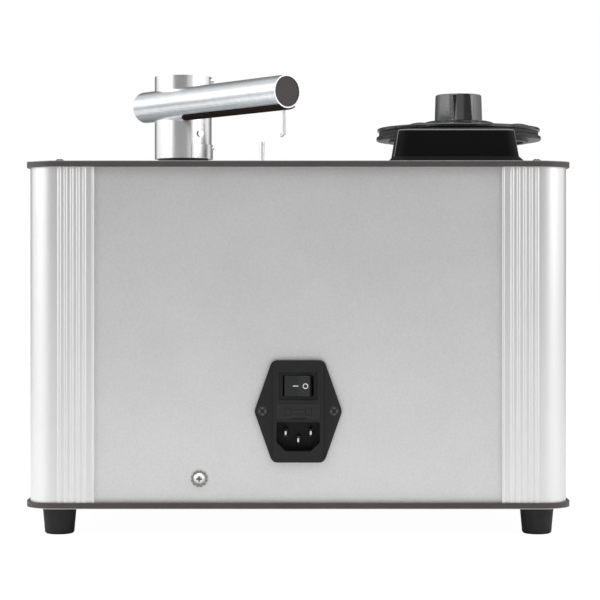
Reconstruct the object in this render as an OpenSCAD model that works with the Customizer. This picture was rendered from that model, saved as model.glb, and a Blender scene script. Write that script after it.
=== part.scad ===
// Desktop vacuum record cleaning machine.
// Four ribbed corner posts, sheet panels and two thin plates make the case. On the top plate stand a small
// platter with its record clamp, the drive under a moulded cowl, and a sprung vacuum arm that draws the
// fluid off a record into a tank in the case.
// The rear face looks along -Y, +X is to the right seen from the rear, +Z is up. The origin is on the
// ground, under the middle of the case.

/* [Case] */
// Width of the top and bottom plates
case_w = 306.4; // [286:0.1:344]
// Depth of the top and bottom plates
case_d = 224; // [212:1:254]
// Height of the posts and panels between the plates
body_h = 187.5; // [175:0.1:230]
// Thickness of the top and bottom plates
plate_t = 3.3; // [2.5:0.1:5]
// Corner radius of the plates
plate_r = 17.5; // [14:0.5:20]
// How far the plates stand out past the posts
plate_overhang = 2; // [1:0.1:4]
// Thickness of the four sheet panels
panel_t = 2; // [1.5:0.1:3]

/* [Corner posts] */
// Length of each arm of a post, from the outer face of the other arm
post_arm = 37.5; // [34:0.1:42]
// Wall of the extrusion
post_wall = 1.8; // [1.4:0.1:2.5]
// Number of decorative ribs on each arm
rib_count = 5; // [3:1:5]
// Distance from one rib to the next
rib_pitch = 3.48; // [2.5:0.01:3.6]
// Width of a rib at its foot
rib_w = 2.1; // [0.8:0.1:2.4]
// How far a rib stands out
rib_rise = 0.5; // [0.2:0.05:0.6]
// Distance of the first rib from the corner's outer face
rib_first = 17.9; // [16.5:0.1:18.5]
// Width of the bead along the edge of each arm
bead_w = 1.7; // [1:0.1:2.4]
// How far the bead stands out
bead_rise = 0.3; // [0.1:0.05:0.6]
// Depth of the slot that holds a panel's edge
slot_depth = 5.5; // [4:0.1:7]
// Distance of the screw port from both outer faces
port_inset = 16.3; // [14:0.1:17]
// Outer diameter of the screw port
port_d = 8; // [7:0.1:10]
// Thickness of the webs that carry the screw port
web_t = 1.8; // [1.4:0.1:3]

/* [Screws] */
// Diameter of the case screws
case_screw_d = 3.9; // [3:0.1:4.5]
// Head diameter of the top case screws
deck_head_d = 6; // [5.4:0.1:8]
// Head height of the top case screws
deck_head_h = 2; // [1.4:0.1:3]
// Length of the top case screws under the head
deck_screw_len = 14; // [10:1:25]
// How far a foot screw reaches into its post
foot_screw_grip = 12; // [8:1:20]
// Diameter of the flange screws and the motor screws
flange_screw_d = 2.9; // [2.5:0.1:3]
// Head diameter of the flange screws and the motor screws
flange_head_d = 5.4; // [5:0.1:6]
// Head height of the flange screws and the motor screws
flange_head_h = 1.8; // [1.2:0.1:2.2]
// How far a flange screw bites into what it holds
flange_screw_grip = 2.2; // [1.8:0.1:2.6]

/* [Feet] */
// Height of the rubber feet
foot_h = 15.5; // [10:0.1:20]
// Diameter of a foot where it meets the case
foot_top_d = 19.3; // [16:0.1:26]
// Diameter of a foot near the ground
foot_base_d = 16.7; // [15:0.1:19]
// Rounding of a foot's lower edge
foot_edge_r = 1.6; // [0.5:0.1:2.2]
// Diameter of the pocket for the foot screw's head
foot_bore_d = 9.6; // [8.5:0.1:10.5]
// Depth of the pocket for the foot screw's head
foot_bore_h = 6; // [4:0.1:8]

/* [Mains inlet] */
// Height of the inlet's middle above the lower face of the bottom plate
inlet_rise = 54.4; // [45:0.1:80]
// Width of the inlet's flange between its two tips
inlet_w = 49; // [47:0.1:52]
// Height of the inlet's flange
inlet_h = 57; // [56:0.1:62]
// Width of the flange's flat top and bottom edges
inlet_flat_w = 29; // [26:0.1:32]
// Thickness of the flange
inlet_flange_t = 2.5; // [2:0.1:3.5]
// Width of the raised block in the middle of the flange
inlet_block_w = 28; // [27.6:0.1:31]
// How far the block stands out from the flange
inlet_block_t = 1.2; // [0.6:0.1:2]
// Distance between the inlet's two screws
inlet_pitch = 40; // [38:0.1:41]
// Head diameter of the inlet's screws
inlet_head_d = 5.7; // [4.5:0.1:6]
// Depth of the inlet behind the panel
inlet_depth = 30; // [26:0.5:34]
// Width of the frame round the rocker
rocker_frame_w = 21.4; // [20:0.1:23]
// Height of the frame round the rocker
rocker_frame_h = 15.65; // [14:0.05:17]
// Depth of the frame round the rocker
rocker_frame_t = 1.6; // [1:0.1:2]
// Width of the rocker across its round sides
rocker_w = 16; // [14:0.1:17]
// Height of the rocker
rocker_h = 11.4; // [10:0.1:12.5]
// Angle that the rocker turns between off and on
rocker_throw = 18; // [12:1:22]
// Width of the fuse drawer's face
drawer_w = 24.6; // [23.8:0.1:26]
// Height of the fuse drawer's face
drawer_h = 8.4; // [8.4:0.1:9.3]
// Diameter of the fuse
fuse_d = 5; // [4:0.1:5.2]
// Length of the fuse
fuse_len = 20; // [18:0.5:20.5]
// Width of the socket
socket_w = 24.1; // [23:0.1:25]
// Height of the socket
socket_h = 16.4; // [16:0.1:17]
// Depth of the socket
socket_depth = 16.5; // [14:0.5:18]
// Distance from the middle pin to each outer pin
pin_pitch = 7; // [6.5:0.1:7.5]
// Height of a pin
pin_h = 4; // [3.5:0.1:4.5]
// Thickness of a pin
pin_t = 2; // [1.6:0.1:2.2]

/* [Earth screw] */
// Distance of the earth screw to the left of the middle, seen from the rear
earth_x = 55.2; // [40:0.1:90]
// Height of the earth screw above the lower face of the bottom plate
earth_rise = 16.6; // [14:0.1:40]
// Head diameter of the earth screw
earth_head_d = 6.6; // [5:0.1:8]
// Diameter of the toothed washer
earth_washer_d = 9.4; // [7.6:0.1:12]
// Number of teeth on the washer
washer_teeth = 12; // [8:1:16]

/* [Arm column] */
// Distance of the column from the plate's left edge, seen from the rear
column_x = 83.2; // [77:0.1:87]
// Place of the column behind the middle
column_y = 8.5; // [5:0.5:12]
// Diameter of the column
column_d = 34.6; // [34.5:0.1:38]
// Wall of the column's hollow foot
column_wall = 2; // [1.8:0.1:2.4]
// Height of the column's top above the top plate
column_top = 56.6; // [55:0.5:64]
// Gap between the column's foot and the top plate with the arm up
column_gap = 6.8; // [6.6:0.1:9]
// How far the arm travels when it is pressed down
lift_travel = 4.5; // [3:0.1:4.8]
// Height of the band round the column's foot
collar_h = 8.4; // [6:0.1:10]
// Wall of the band
collar_wall = 0.8; // [0.6:0.1:1.5]
// Outer diameter of the suction pipe
pipe_d = 14; // [13:0.1:15]
// Wall of the suction pipe
pipe_wall = 1.5; // [1:0.1:2]
// Wire diameter of the lift spring
spring_wire_d = 1.2; // [0.8:0.1:1.2]
// Number of turns of the lift spring
spring_turns = 2.5; // [2:0.5:2.5]

/* [Arm tube] */
// Angle of the parked arm, from +X towards the rear
arm_park = 51; // [45:0.5:56]
// Distance from the column's axis to the tube's axis
tube_offset = 13.6; // [13:0.1:15]
// Height of the tube's axis above the top plate
tube_rise = 38.8; // [38:0.1:40]
// Outer diameter of the tube
tube_d = 18.8; // [17.5:0.1:19.2]
// Wall of the tube
tube_wall = 0.8; // [0.6:0.1:1.2]
// Reach of the tube past the column's axis, to the free end
tube_reach = 118.4; // [105:0.1:118.8]
// Length of the tube on the other side of the column
tube_tail = 20.2; // [18:0.1:30]
// Length of the velvet strip
strip_len = 97; // [80:0.1:101]
// Width of the velvet strip
strip_w = 11.4; // [10:0.1:14]
// Thickness of the velvet strip
strip_t = 0.9; // [0.6:0.1:1.2]
// Width of the suction slot
slot_w = 1.8; // [1:0.1:2.4]
// Diameter of the bent pin under the tube's end
hook_d = 1.9; // [1.4:0.1:2.4]
// How far the bent pin hangs below the tube
hook_drop = 15.8; // [8:0.1:18]

/* [Platter] */
// Distance of the platter's axis from the plate's right edge, seen from the rear
platter_x = 55; // [49:0.1:56]
// Diameter of the platter
platter_d = 100.4; // [96:0.1:101]
// Height of the platter's lower face above the top plate
platter_rise = 18.4; // [17:0.1:20]
// Thickness of the platter
platter_t = 2.6; // [2.6:0.1:4]
// Diameter of the ring under the platter
under_ring_d = 85; // [70:0.5:92]
// Depth of the ring under the platter
under_ring_t = 1.2; // [0.8:0.1:3]
// Thickness of the mat
mat_t = 1.2; // [1:0.1:2]
// Diameter of the spindle
spindle_d = 8; // [7:0.1:9]
// Diameter of the spindle's nose, which takes a record
nose_d = 7.2; // [7:0.01:7.24]
// Reach of the spindle's nose above the mat
nose_h = 14; // [10:0.5:17]
// Depth of the bearing housing under the top plate
bearing_depth = 32; // [24:1:45]
// Outer diameter of the bearing housing's flange
bearing_flange_d = 44; // [42:0.5:50]

/* [Record clamp] */
// Diameter of the clamp's disc
clamp_d = 99.2; // [94:0.1:99.4]
// Thickness of the clamp's disc at its rim
clamp_rim_t = 2.2; // [1.8:0.1:3]
// Height of the clamp's boss above the clamp's lower face
clamp_boss_rise = 6.6; // [5.5:0.1:8]
// Diameter of the clamp's boss
clamp_boss_d = 41; // [36:0.5:48]
// Thickness of the rubber seal under the clamp
seal_t = 1.5; // [1:0.1:2]
// Width of the rubber seal under the clamp
seal_w = 4.5; // [3:0.1:6]
// Diameter of the four round pads
pad_d = 15; // [10:0.1:15]
// Radius of the circle that the pads stand on
pad_ring_r = 41.6; // [38:0.1:41.8]
// Diameter of the knob across its corners
knob_d = 29.4; // [25:0.1:34]
// Height of the knob
knob_h = 16.3; // [14:0.1:24]
// Number of faces on the knob
knob_faces = 8; // [6:1:10]

/* [Drive] */
// Distance of the motor from the plate's rear edge
motor_y = 32; // [30:0.5:33]
// Distance of the motor and its cowl from the plate's right edge, seen from the rear
motor_x = 63.9; // [59:0.1:67]
// Diameter of the motor
motor_d = 37; // [34:0.5:40]
// Height of the motor
motor_h = 48; // [40:1:70]
// Diameter of the circle of motor screws
motor_screw_pcd = 31; // [28:0.5:31]
// Diameter of the platter's pulley
pulley_d = 58; // [50:0.5:62]
// Turns of the motor for one turn of the platter
drive_ratio = 3; // [2.5:0.1:4]
// Width of the belt
belt_w = 5; // [4:0.1:6]
// Thickness of the belt
belt_t = 1; // [0.8:0.1:1.4]
// Height of the belt's lower edge above the top plate
belt_rise = 7.5; // [6.5:0.1:8]
// Width of the cowl at the top
cowl_top_w = 66.2; // [60:0.1:70]
// Width of the cowl above its flared foot
cowl_side_w = 72.1; // [70.5:0.1:73]
// Width of the cowl's flared foot
cowl_foot_w = 77; // [74:0.1:80]
// Height of the cowl
cowl_h = 18.6; // [17.5:0.1:22]
// Depth of the cowl's flared foot, front to back
cowl_depth = 49; // [47:0.5:51]
// Wall of the cowl
cowl_wall = 2; // [1.5:0.1:2.5]

/* [Switches] */
// Place of the motor switch to the left of the middle, seen from the rear
motor_switch_x = 24; // [18:0.5:36]
// Distance of the vacuum switch from the plate's left edge, seen from the rear
vacuum_switch_x = 78.2; // [63:0.1:93]
// Distance of the switches from the plate's front edge
switch_y = 15; // [14:0.5:22]
// Diameter of the threaded bush
bush_d = 11.8; // [10:0.1:12]
// Height of the bush above the top plate
bush_rise = 8.5; // [8:0.1:11]
// Height of the lever's tip above the top plate
lever_rise = 26.4; // [22:0.1:30]
// Angle of the vacuum lever to each side
lever_throw = 12; // [8:1:14]

/* [Waste tank and blower] */
// Width of the waste tank
tank_w = 180; // [160:1:190]
// Depth of the waste tank
tank_d = 130; // [120:1:136]
// Height of the waste tank
tank_h = 62; // [50:1:70]
// Wall of the waste tank
tank_wall = 2.5; // [2:0.1:4]
// Thickness of the tank's lid
lid_t = 3; // [2:0.1:4]
// Diameter of the blower's fan housing
blower_d = 92; // [84:1:96]
// Height of the blower's fan housing
fan_case_h = 28; // [24:1:34]
// Height of the blower's motor above the fan housing
blower_motor_h = 46; // [30:1:52]
// Number of fan blades
fan_blades = 9; // [6:1:12]
// Bore of the drain
drain_d = 12; // [8:0.5:14]

/* [Hidden] */
$fn = 48;
// clearances between pieces that are pressed, turned, slid and dropped together
press_play = 0.02;
run_play = 0.05;
slide_play = 0.1;
loose_play = 0.3;
// overlap that makes a cut break through a face
cut = 1;

body_w = case_w - 2 * plate_overhang;
body_d = case_d - 2 * plate_overhang;
body_r = plate_r - plate_overhang;
z_floor = foot_h + plate_t;
z_ceiling = z_floor + body_h;
z_deck = z_ceiling + plate_t;
port_x = body_w / 2 - port_inset;
port_y = body_d / 2 - port_inset;
port_bore_d = case_screw_d + 2 * run_play;
case_hole_d = case_screw_d + 2 * loose_play;
flange_hole_d = flange_screw_d + 2 * run_play;
slot_gap = panel_t + 2 * slide_play;
slot_lip = 1.6;
// outer faces of the panels
panel_rear_y = -body_d / 2 + post_wall + slide_play;
panel_side_x = -body_w / 2 + post_wall + slide_play;
panel_edge_x = body_w / 2 - post_arm + slot_depth - slide_play;
panel_edge_y = body_d / 2 - post_arm + slot_depth - slide_play;

inlet_z = foot_h + inlet_rise;
inlet_corner_r = 4;
inlet_tip_r = 5;
inlet_face = inlet_flange_t + inlet_block_t;
inlet_back_h = 46.4;
inlet_back_w = 27;
inlet_screw_d = 2.9;
inlet_head_h = 1.1;
inlet_nut_w = 5.5;
inlet_nut_t = 2.4;
rocker_v = 14.1;
rocker_pivot_depth = 1.5;
rocker_edge_rise = 2.3;
rocker_dip_rise = 0.8;
rocker_root = 4;
rocker_pin_d = 2.4;
rocker_pin_len = 1.6;
rocker_pivot_w = inlet_face - rocker_frame_t - rocker_pivot_depth;
drawer_v = -0.1;
drawer_face_t = 2.2;
tray_w = fuse_len + 2.6;
tray_h = fuse_d + 1.9;
tray_depth = 13;
fuse_inset = 5.5;
socket_v = -14.1;
socket_chamfer = 5;
socket_corner_r = 0.8;
pin_drop = 2;
pin_inset = 1.5;
pin_taper = 1.2;
tab_len = 7;
tab_t = 0.8;
tab_w = 4.8;
tab_pitch = 5;

earth_z = foot_h + earth_rise;
earth_washer_t = 0.8;
earth_head_h = 2.3;
earth_nut_w = 7;
earth_nut_t = 3;

flange_plate_t = 2;
flange_screw_len = flange_plate_t + plate_t + flange_screw_grip;
cup_wall = 1.8;
cup_d = column_d - 2 * column_wall - 2 * loose_play;
cup_h = 11;
cup_floor_t = 3;
base_rim_d = column_d - 0.6;
base_rim_t = 1.5;
key_w = 3;
key_t = 1.5;
key_wall = 1.4;
key_top = cup_h - 1.5 - run_play;
sleeve_flange_d = cup_d - 2 * cup_wall - 2 * slide_play;
sleeve_foot = cup_h + 1;
head_rise = 18.5;
sleeve_d = 20;
sleeve_top = 27;
groove_rise = 21.6;
groove_w = 3.6;
groove_depth = 1.3;
lock_screw_d = 2.6;
lock_head_d = 4.2;
set_screw_d = 3.2;
pipe_top = 18;
pipe_tail = 20;
pipe_flange_d = 32;
base_screw_ring_r = 12;
port_hole_d = 8;
cap_t = 5;
collar_d = column_d + 2 * collar_wall;
collar_turn = 20;
column_pos = [column_x - case_w / 2, -column_y, z_deck];
stopper_t = 7;
hook_inset = 3;
hook_foot_len = 3.2;
strip_end = tube_reach - strip_len;

platter_pos = [case_w / 2 - platter_x, 0, z_deck];
hub_d = 24;
hub_foot = belt_rise - 2.2;
mat_top = platter_rise + platter_t + mat_t;
clamp_foot = mat_top + seal_t;
clamp_boss_top = clamp_foot + clamp_boss_rise;
pad_top = clamp_foot + 3.6;
pad_seat = clamp_foot + 1.4;
pad_turn = -37.2;
clamp_bore_d = nose_d + 2 * run_play;
knob_taper = 0.6;
knob_turn = 31;
knob_edge_r = 1;
knob_scoop_r = 26;
knob_scoop = 0.5;
bearing_d = 28;
bearing_nose = 1.5;
bearing_flange_t = flange_screw_len - plate_t;
bearing_screw_ring_r = 18;
bearing_base_t = 2;
spindle_foot = bearing_base_t + run_play - bearing_depth - plate_t;

motor_pos = [case_w / 2 - motor_x, motor_y - case_d / 2, z_deck];
motor_pulley_d = pulley_d / drive_ratio;
pulley_lip = 1.2;
pulley_lip_t = 1.2;
motor_shaft_d = 6;
motor_boss_d = 12;
motor_screw_len = plate_t + flange_screw_grip + 2;
cowl_flare_h = 3.4;
cowl_corner_r = 7;
cowl_edge_r = 1.3;
cowl_mouth_w = 48;
cowl_mouth_h = 15.5;
cowl_lug_d = 7;
cowl_lug_h = 4;
cowl_lug_x = cowl_side_w / 2 - cowl_wall - cowl_lug_d / 2 + 0.6;
cowl_lean = 1.5;
cowl_side_d = cowl_depth - (cowl_foot_w - cowl_side_w);

switch_nut_w = 14;
switch_nut_t = 2;
motor_switch_pos = [-motor_switch_x, case_d / 2 - switch_y, z_deck];
vacuum_switch_pos = [vacuum_switch_x - case_w / 2, case_d / 2 - switch_y, z_deck];
switch_body_w = 16;
switch_body_d = 13;
switch_body_h = 20;
lever_pivot = 5;
lever_ball_d = 6;
lever_pin_d = 1.6;
lever_pin_len = 7.6;
lever_root_d = 2.6;
lever_tip_d = 3.8;

stub_h = 18;
hose_wall = 2;
hose_d = pipe_d + 2 * press_play + 2 * hose_wall;
hose_gap = 5.78;
tank_corner_r = 8;
tank_top = z_floor + tank_h;
lid_top = tank_top + lid_t;
lid_plug_t = 2;
tank_mid_y = 5;
blower_pos = [column_pos.x + hose_d / 2 + hose_gap + blower_d / 2, tank_mid_y, lid_top];
blower_margin = 4;
tank_side_gap = 12;
// the tank ends under the blower's far side
tank_right = blower_pos.x + blower_d / 2 + blower_margin;
tank_x = max(tank_right - tank_w, -body_w / 2 + tank_side_gap);
tank_mid_x = tank_x + tank_w / 2;
gasket_t = 1.5;
gasket_w = 5;
fan_wall = 2.5;
fan_eye_d = 28;
fan_plate_t = 1.2;
fan_h = 16;
fan_gap = 3;
fan_shaft_d = 6;
fan_tip_gap = 4;
fan_d = blower_d - 2 * fan_wall - 2 * fan_tip_gap;
fan_shaft_reach = 12;
blower_shoulder = 13;
blower_motor_d = blower_d - 2 * blower_shoulder;
drain_z = z_floor + tank_wall + drain_d / 2 + 5;
drain_y = 0;
drain_boss_d = drain_d + 5;
bung_head_d = drain_boss_d + 5;
bung_head_t = 1.3;
bung_len = 9;

// ---- shapes that several pieces share ----

// rectangle with round corners, centred
module rounded_rect(w, d, r) {
    square([w, d - 2 * r], center = true);
    square([w - 2 * r, d], center = true);
    for (x = [-1, 1], y = [-1, 1]) {
        translate([x * (w / 2 - r), y * (d / 2 - r)]) circle(r);
    }
}

// slot along y with round ends, centred; len is end to end
module slot_shape(w, len) {
    square([w, len - w], center = true);
    for (y = [-1, 1]) {
        translate([0, y * (len - w) / 2]) circle(d = w);
    }
}

// ring about the Z axis
module ring(d, bore_d, h) {
    difference() {
        cylinder(d = d, h = h);
        translate([0, 0, -cut]) cylinder(d = bore_d, h = h + 2 * cut);
    }
}

// points of the arc that rounds corner b of the path a, b, c with radius r
function corner_arc(a, b, c, r, steps = 5) =
    let (
        u = (a - b) / norm(a - b),
        v = (c - b) / norm(c - b),
        half = acos(u * v) / 2,
        bisector = (u + v) / norm(u + v),
        centre = b + bisector * r / sin(half),
        sweep = 90 - half,
        away = atan2(-bisector.y, -bisector.x),
        side = cross(u, v) < 0 ? 1 : -1
    )
    [for (i = [0 : steps])
        let (t = away - side * sweep * (1 - 2 * i / steps))
        centre + r * [cos(t), sin(t)]];

// closed outline through points, each corner rounded with its own radius
function rounded_outline(points, radii) =
    let (n = len(points))
    [for (i = [0 : n - 1])
        each corner_arc(points[(i + n - 1) % n], points[i], points[(i + 1) % n], radii[i])];

// dome-headed cross-recess screw: seat at z = 0, head upwards
module dome_screw(d, head_d, head_h, length) {
    rim_h = 0.25 * head_h;
    dome_h = head_h - rim_h;
    dome_r = (pow(head_d / 2, 2) + pow(dome_h, 2)) / (2 * dome_h);
    recess_len = 0.56 * head_d;
    recess_w = 0.15 * head_d;
    difference() {
        union() {
            intersection() {
                cylinder(d = head_d, h = head_h);
                translate([0, 0, head_h - dome_r]) sphere(dome_r);
            }
            translate([0, 0, -length]) cylinder(d = d, h = length);
        }
        for (turn = [0, 90]) {
            rotate([0, 0, turn])
                translate([-recess_len / 2, -recess_w / 2, head_h / 2])
                    cube([recess_len, recess_w, head_h]);
        }
    }
}

module hex_nut(w, bore_d, h) {
    difference() {
        cylinder(d = w / cos(30), h = h, $fn = 6);
        translate([0, 0, -cut]) cylinder(d = bore_d, h = h + 2 * cut);
    }
}

// children in the rear panel's plane: x to the right, y up, z out of the case
module on_rear(x, z, out = 0) {
    translate([x, panel_rear_y - out, z]) rotate([90, 0, 0]) children();
}

// children at the four screw ports
module at_ports(z) {
    for (x = [-port_x, port_x], y = [-port_y, port_y]) {
        translate([x, y, z]) children();
    }
}

// children on the column's axis at the top plate, x along the parked arm
module in_arm() {
    translate(column_pos) rotate([0, 0, -arm_park]) children();
}

// cylinder along the arm's tube, from x = start to x = end
module along_tube(d, start, end) {
    translate([start, -tube_offset, tube_rise]) rotate([0, 90, 0]) cylinder(d = d, h = end - start);
}

// positions of the screws that come up through the top plate
module at_base_screws() {
    for (turn = [60, 180, 300]) {
        translate(column_pos) rotate([0, 0, turn]) translate([base_screw_ring_r, 0, 0]) children();
    }
}

module at_bearing_screws() {
    for (turn = [30, 150, 270]) {
        translate(platter_pos) rotate([0, 0, turn]) translate([bearing_screw_ring_r, 0, 0]) children();
    }
}

module at_cowl_lugs() {
    for (x = [-cowl_lug_x, cowl_lug_x]) {
        translate(motor_pos) translate([x, 0, 0]) children();
    }
}

module at_motor_screws() {
    for (turn = [45 : 90 : 315]) {
        translate(motor_pos) rotate([0, 0, turn]) translate([motor_screw_pcd / 2, 0, 0]) children();
    }
}

module at_switches() {
    for (place = [motor_switch_pos, vacuum_switch_pos]) {
        translate(place) children();
    }
}

// ---- case ----

module bottom_plate() {
    vent_count = 9;
    vent_pitch = 8;
    vent_w = 3.2;
    vent_len = 70;
    color("dimgray")
    difference() {
        translate([0, 0, foot_h]) linear_extrude(plate_t) rounded_rect(case_w, case_d, plate_r);
        at_ports(foot_h - cut) cylinder(d = case_hole_d, h = plate_t + 2 * cut);
        // exhaust vents under the free side of the case
        for (i = [0 : vent_count - 1]) {
            translate([tank_x + tank_w + 16 + i * vent_pitch, 0, foot_h - cut])
                linear_extrude(plate_t + 2 * cut) slot_shape(vent_w, vent_len);
        }
    }
}

// cutter for a round hole through the top plate
module deck_hole(d) {
    translate([0, 0, -plate_t - cut]) cylinder(d = d, h = plate_t + 2 * cut);
}

module top_plate() {
    color("dimgray")
    difference() {
        translate([0, 0, z_ceiling]) linear_extrude(plate_t) rounded_rect(case_w, case_d, plate_r);
        at_ports(z_deck) deck_hole(case_hole_d);
        translate(column_pos) deck_hole(pipe_d + 2 * slide_play);
        translate(platter_pos) deck_hole(bearing_d + 2 * slide_play);
        translate(motor_pos) deck_hole(motor_boss_d + 2 * slide_play);
        at_base_screws() deck_hole(flange_hole_d);
        at_bearing_screws() deck_hole(flange_hole_d);
        at_motor_screws() deck_hole(flange_hole_d);
        at_cowl_lugs() deck_hole(flange_hole_d);
        at_switches() deck_hole(bush_d + 2 * slide_play);
    }
}

// section of a corner post: the outer corner is at the origin, the arms run along +x and +y
module post_arm_section() {
    slot_y = post_wall + slot_gap;
    slot_back = post_arm - slot_depth - slot_lip;
    rib_r = (pow(rib_w / 2, 2) + pow(rib_rise, 2)) / (2 * rib_rise);
    translate([body_r, 0]) square([post_arm - body_r, post_wall]);
    for (i = [0 : rib_count - 1]) {
        translate([rib_first + i * rib_pitch, 0]) intersection() {
            translate([0, rib_r - rib_rise]) circle(rib_r);
            square([rib_w, post_wall], center = true);
        }
    }
    translate([post_arm - bead_w / 2, bead_w / 2 - bead_rise]) circle(d = bead_w);
    translate([slot_back, 0]) square([slot_lip, slot_y + slot_lip]);
    translate([slot_back, slot_y]) square([slot_depth + slot_lip, slot_lip]);
    translate([port_inset - web_t / 2, post_wall / 2]) square([web_t, port_inset - post_wall / 2]);
}

module post_section() {
    difference() {
        union() {
            intersection() {
                translate([body_r, body_r]) difference() {
                    circle(body_r);
                    circle(body_r - post_wall);
                }
                square(body_r);
            }
            post_arm_section();
            mirror([1, -1]) post_arm_section();
            translate([port_inset, port_inset]) circle(d = port_d);
        }
        translate([port_inset, port_inset]) circle(d = port_bore_d);
    }
}

// corner post; right and front are 1 for that side and 0 for the other
module corner_post(right, front) {
    color("silver")
    mirror([right, 0, 0]) mirror([0, front, 0])
        translate([-body_w / 2, -body_d / 2, z_floor])
            linear_extrude(body_h) post_section();
}

// sheet between two posts along X, its outer face at y = face
module long_panel(face) {
    translate([-panel_edge_x, face, z_floor]) cube([2 * panel_edge_x, panel_t, body_h]);
}

module rear_panel() {
    color("darkgray")
    difference() {
        long_panel(panel_rear_y);
        on_rear(0, inlet_z, -panel_t - cut) linear_extrude(panel_t + 2 * cut)
            square([inlet_back_w + 2 * slide_play, inlet_back_h + 2 * slide_play], center = true);
        for (x = [-inlet_pitch / 2, inlet_pitch / 2]) {
            on_rear(x, inlet_z, -panel_t - cut) {
                cylinder(d = inlet_screw_d + 2 * slide_play, h = panel_t + 2 * cut);
            }
        }
        on_rear(-earth_x, earth_z, -panel_t - cut) {
            cylinder(d = case_screw_d + 2 * slide_play, h = panel_t + 2 * cut);
        }
    }
}

module front_panel() {
    color("darkgray") mirror([0, 1, 0]) long_panel(panel_rear_y);
}

module left_panel() {
    color("darkgray")
    difference() {
        translate([panel_side_x, -panel_edge_y, z_floor]) cube([panel_t, 2 * panel_edge_y, body_h]);
        translate([panel_side_x - cut, drain_y, drain_z]) rotate([0, 90, 0])
            cylinder(d = drain_boss_d + 2 * slide_play, h = panel_t + 2 * cut);
    }
}

module right_panel() {
    color("darkgray")
    mirror([1, 0, 0])
        translate([panel_side_x, -panel_edge_y, z_floor]) cube([panel_t, 2 * panel_edge_y, body_h]);
}

module deck_screws() {
    color("gray") at_ports(z_deck) dome_screw(case_screw_d, deck_head_d, deck_head_h, deck_screw_len);
}

// one foot: tapered, its lower edge rounded, with a stepped hole for its screw
module rubber_foot() {
    difference() {
        rotate_extrude() {
            polygon([
                [0, 0],
                [foot_base_d / 2 - foot_edge_r, 0],
                [foot_base_d / 2, foot_edge_r],
                [foot_top_d / 2, foot_h],
                [0, foot_h]
            ]);
            translate([foot_base_d / 2 - foot_edge_r, foot_edge_r]) circle(foot_edge_r);
        }
        translate([0, 0, -cut]) cylinder(d = case_hole_d, h = foot_h + 2 * cut);
        translate([0, 0, -cut]) cylinder(d = foot_bore_d, h = foot_bore_h + cut);
    }
}

module rubber_feet() {
    color("#222222") at_ports(0) rubber_foot();
}

module foot_screws() {
    length = foot_h - foot_bore_h + plate_t + foot_screw_grip;
    color("gray")
    at_ports(foot_bore_h) mirror([0, 0, 1])
        dome_screw(case_screw_d, foot_bore_d - 2, foot_bore_h / 2, length);
}

// ---- mains inlet ----

inlet_outline = rounded_outline(
    [
        [-inlet_w / 2, 0],
        [-inlet_flat_w / 2, -inlet_h / 2],
        [inlet_flat_w / 2, -inlet_h / 2],
        [inlet_w / 2, 0],
        [inlet_flat_w / 2, inlet_h / 2],
        [-inlet_flat_w / 2, inlet_h / 2]
    ],
    [inlet_tip_r, inlet_corner_r, inlet_corner_r, inlet_tip_r, inlet_corner_r, inlet_corner_r]
);

// socket mouth: a rectangle whose two lower corners are cut off
socket_outline = rounded_outline(
    [
        [-socket_w / 2, -socket_h / 2 + socket_chamfer],
        [-socket_w / 2 + socket_chamfer, -socket_h / 2],
        [socket_w / 2 - socket_chamfer, -socket_h / 2],
        [socket_w / 2, -socket_h / 2 + socket_chamfer],
        [socket_w / 2, socket_h / 2],
        [-socket_w / 2, socket_h / 2]
    ],
    [socket_corner_r, socket_corner_r, socket_corner_r, socket_corner_r, socket_corner_r, socket_corner_r]
);

// x and y of the three pins from the middle of the inlet
pin_places = [
    [-pin_pitch, socket_v + pin_drop],
    [pin_pitch, socket_v + pin_drop],
    [0, socket_v - pin_drop]
];

module inlet_housing() {
    rocker_pocket = rocker_w / 2 + 2 * loose_play;
    rocker_pins_w = rocker_h + 2 * rocker_pin_len;
    color("#2b2b2b")
    on_rear(0, inlet_z) difference() {
        union() {
            linear_extrude(inlet_flange_t) polygon(inlet_outline);
            linear_extrude(inlet_face) intersection() {
                polygon(inlet_outline);
                square([inlet_block_w, inlet_h], center = true);
            }
            translate([0, 0, -inlet_depth]) linear_extrude(inlet_depth + cut)
                square([inlet_back_w, inlet_back_h], center = true);
        }
        // frame and pocket of the rocker, and the holes for its two pivots
        translate([0, rocker_v, inlet_face - rocker_frame_t]) linear_extrude(rocker_frame_t + cut)
            square([rocker_frame_w, rocker_frame_h], center = true);
        translate([-rocker_pocket, rocker_v - rocker_h / 2 - slide_play, rocker_pivot_w - rocker_pocket])
            cube([2 * rocker_pocket, rocker_h + 2 * slide_play, inlet_depth]);
        translate([0, rocker_v, rocker_pivot_w]) rotate([90, 0, 0])
            cylinder(d = rocker_pin_d + 2 * run_play, h = rocker_pins_w + 2 * slide_play, center = true);
        // seat of the fuse drawer's face and the pocket of its tray
        translate([0, drawer_v, inlet_face - drawer_face_t - slide_play]) linear_extrude(inlet_face)
            square([drawer_w + 2 * slide_play, drawer_h + 2 * slide_play], center = true);
        translate([0, drawer_v, inlet_face - drawer_face_t - tray_depth - loose_play])
            linear_extrude(inlet_depth)
            square([tray_w + 2 * slide_play, tray_h + 2 * slide_play], center = true);
        // socket, and the slots that the pins pass through
        translate([0, socket_v, inlet_face - socket_depth]) linear_extrude(socket_depth + cut)
            polygon(socket_outline);
        for (place = pin_places) {
            translate([place.x, place.y, -inlet_depth - cut]) linear_extrude(inlet_depth)
                square([pin_t + 2 * press_play, pin_h + 2 * press_play], center = true);
        }
        for (x = [-inlet_pitch / 2, inlet_pitch / 2]) {
            translate([x, 0, -cut]) {
                cylinder(d = inlet_screw_d + 2 * slide_play, h = inlet_flange_t + 2 * cut);
            }
        }
    }
}

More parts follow.
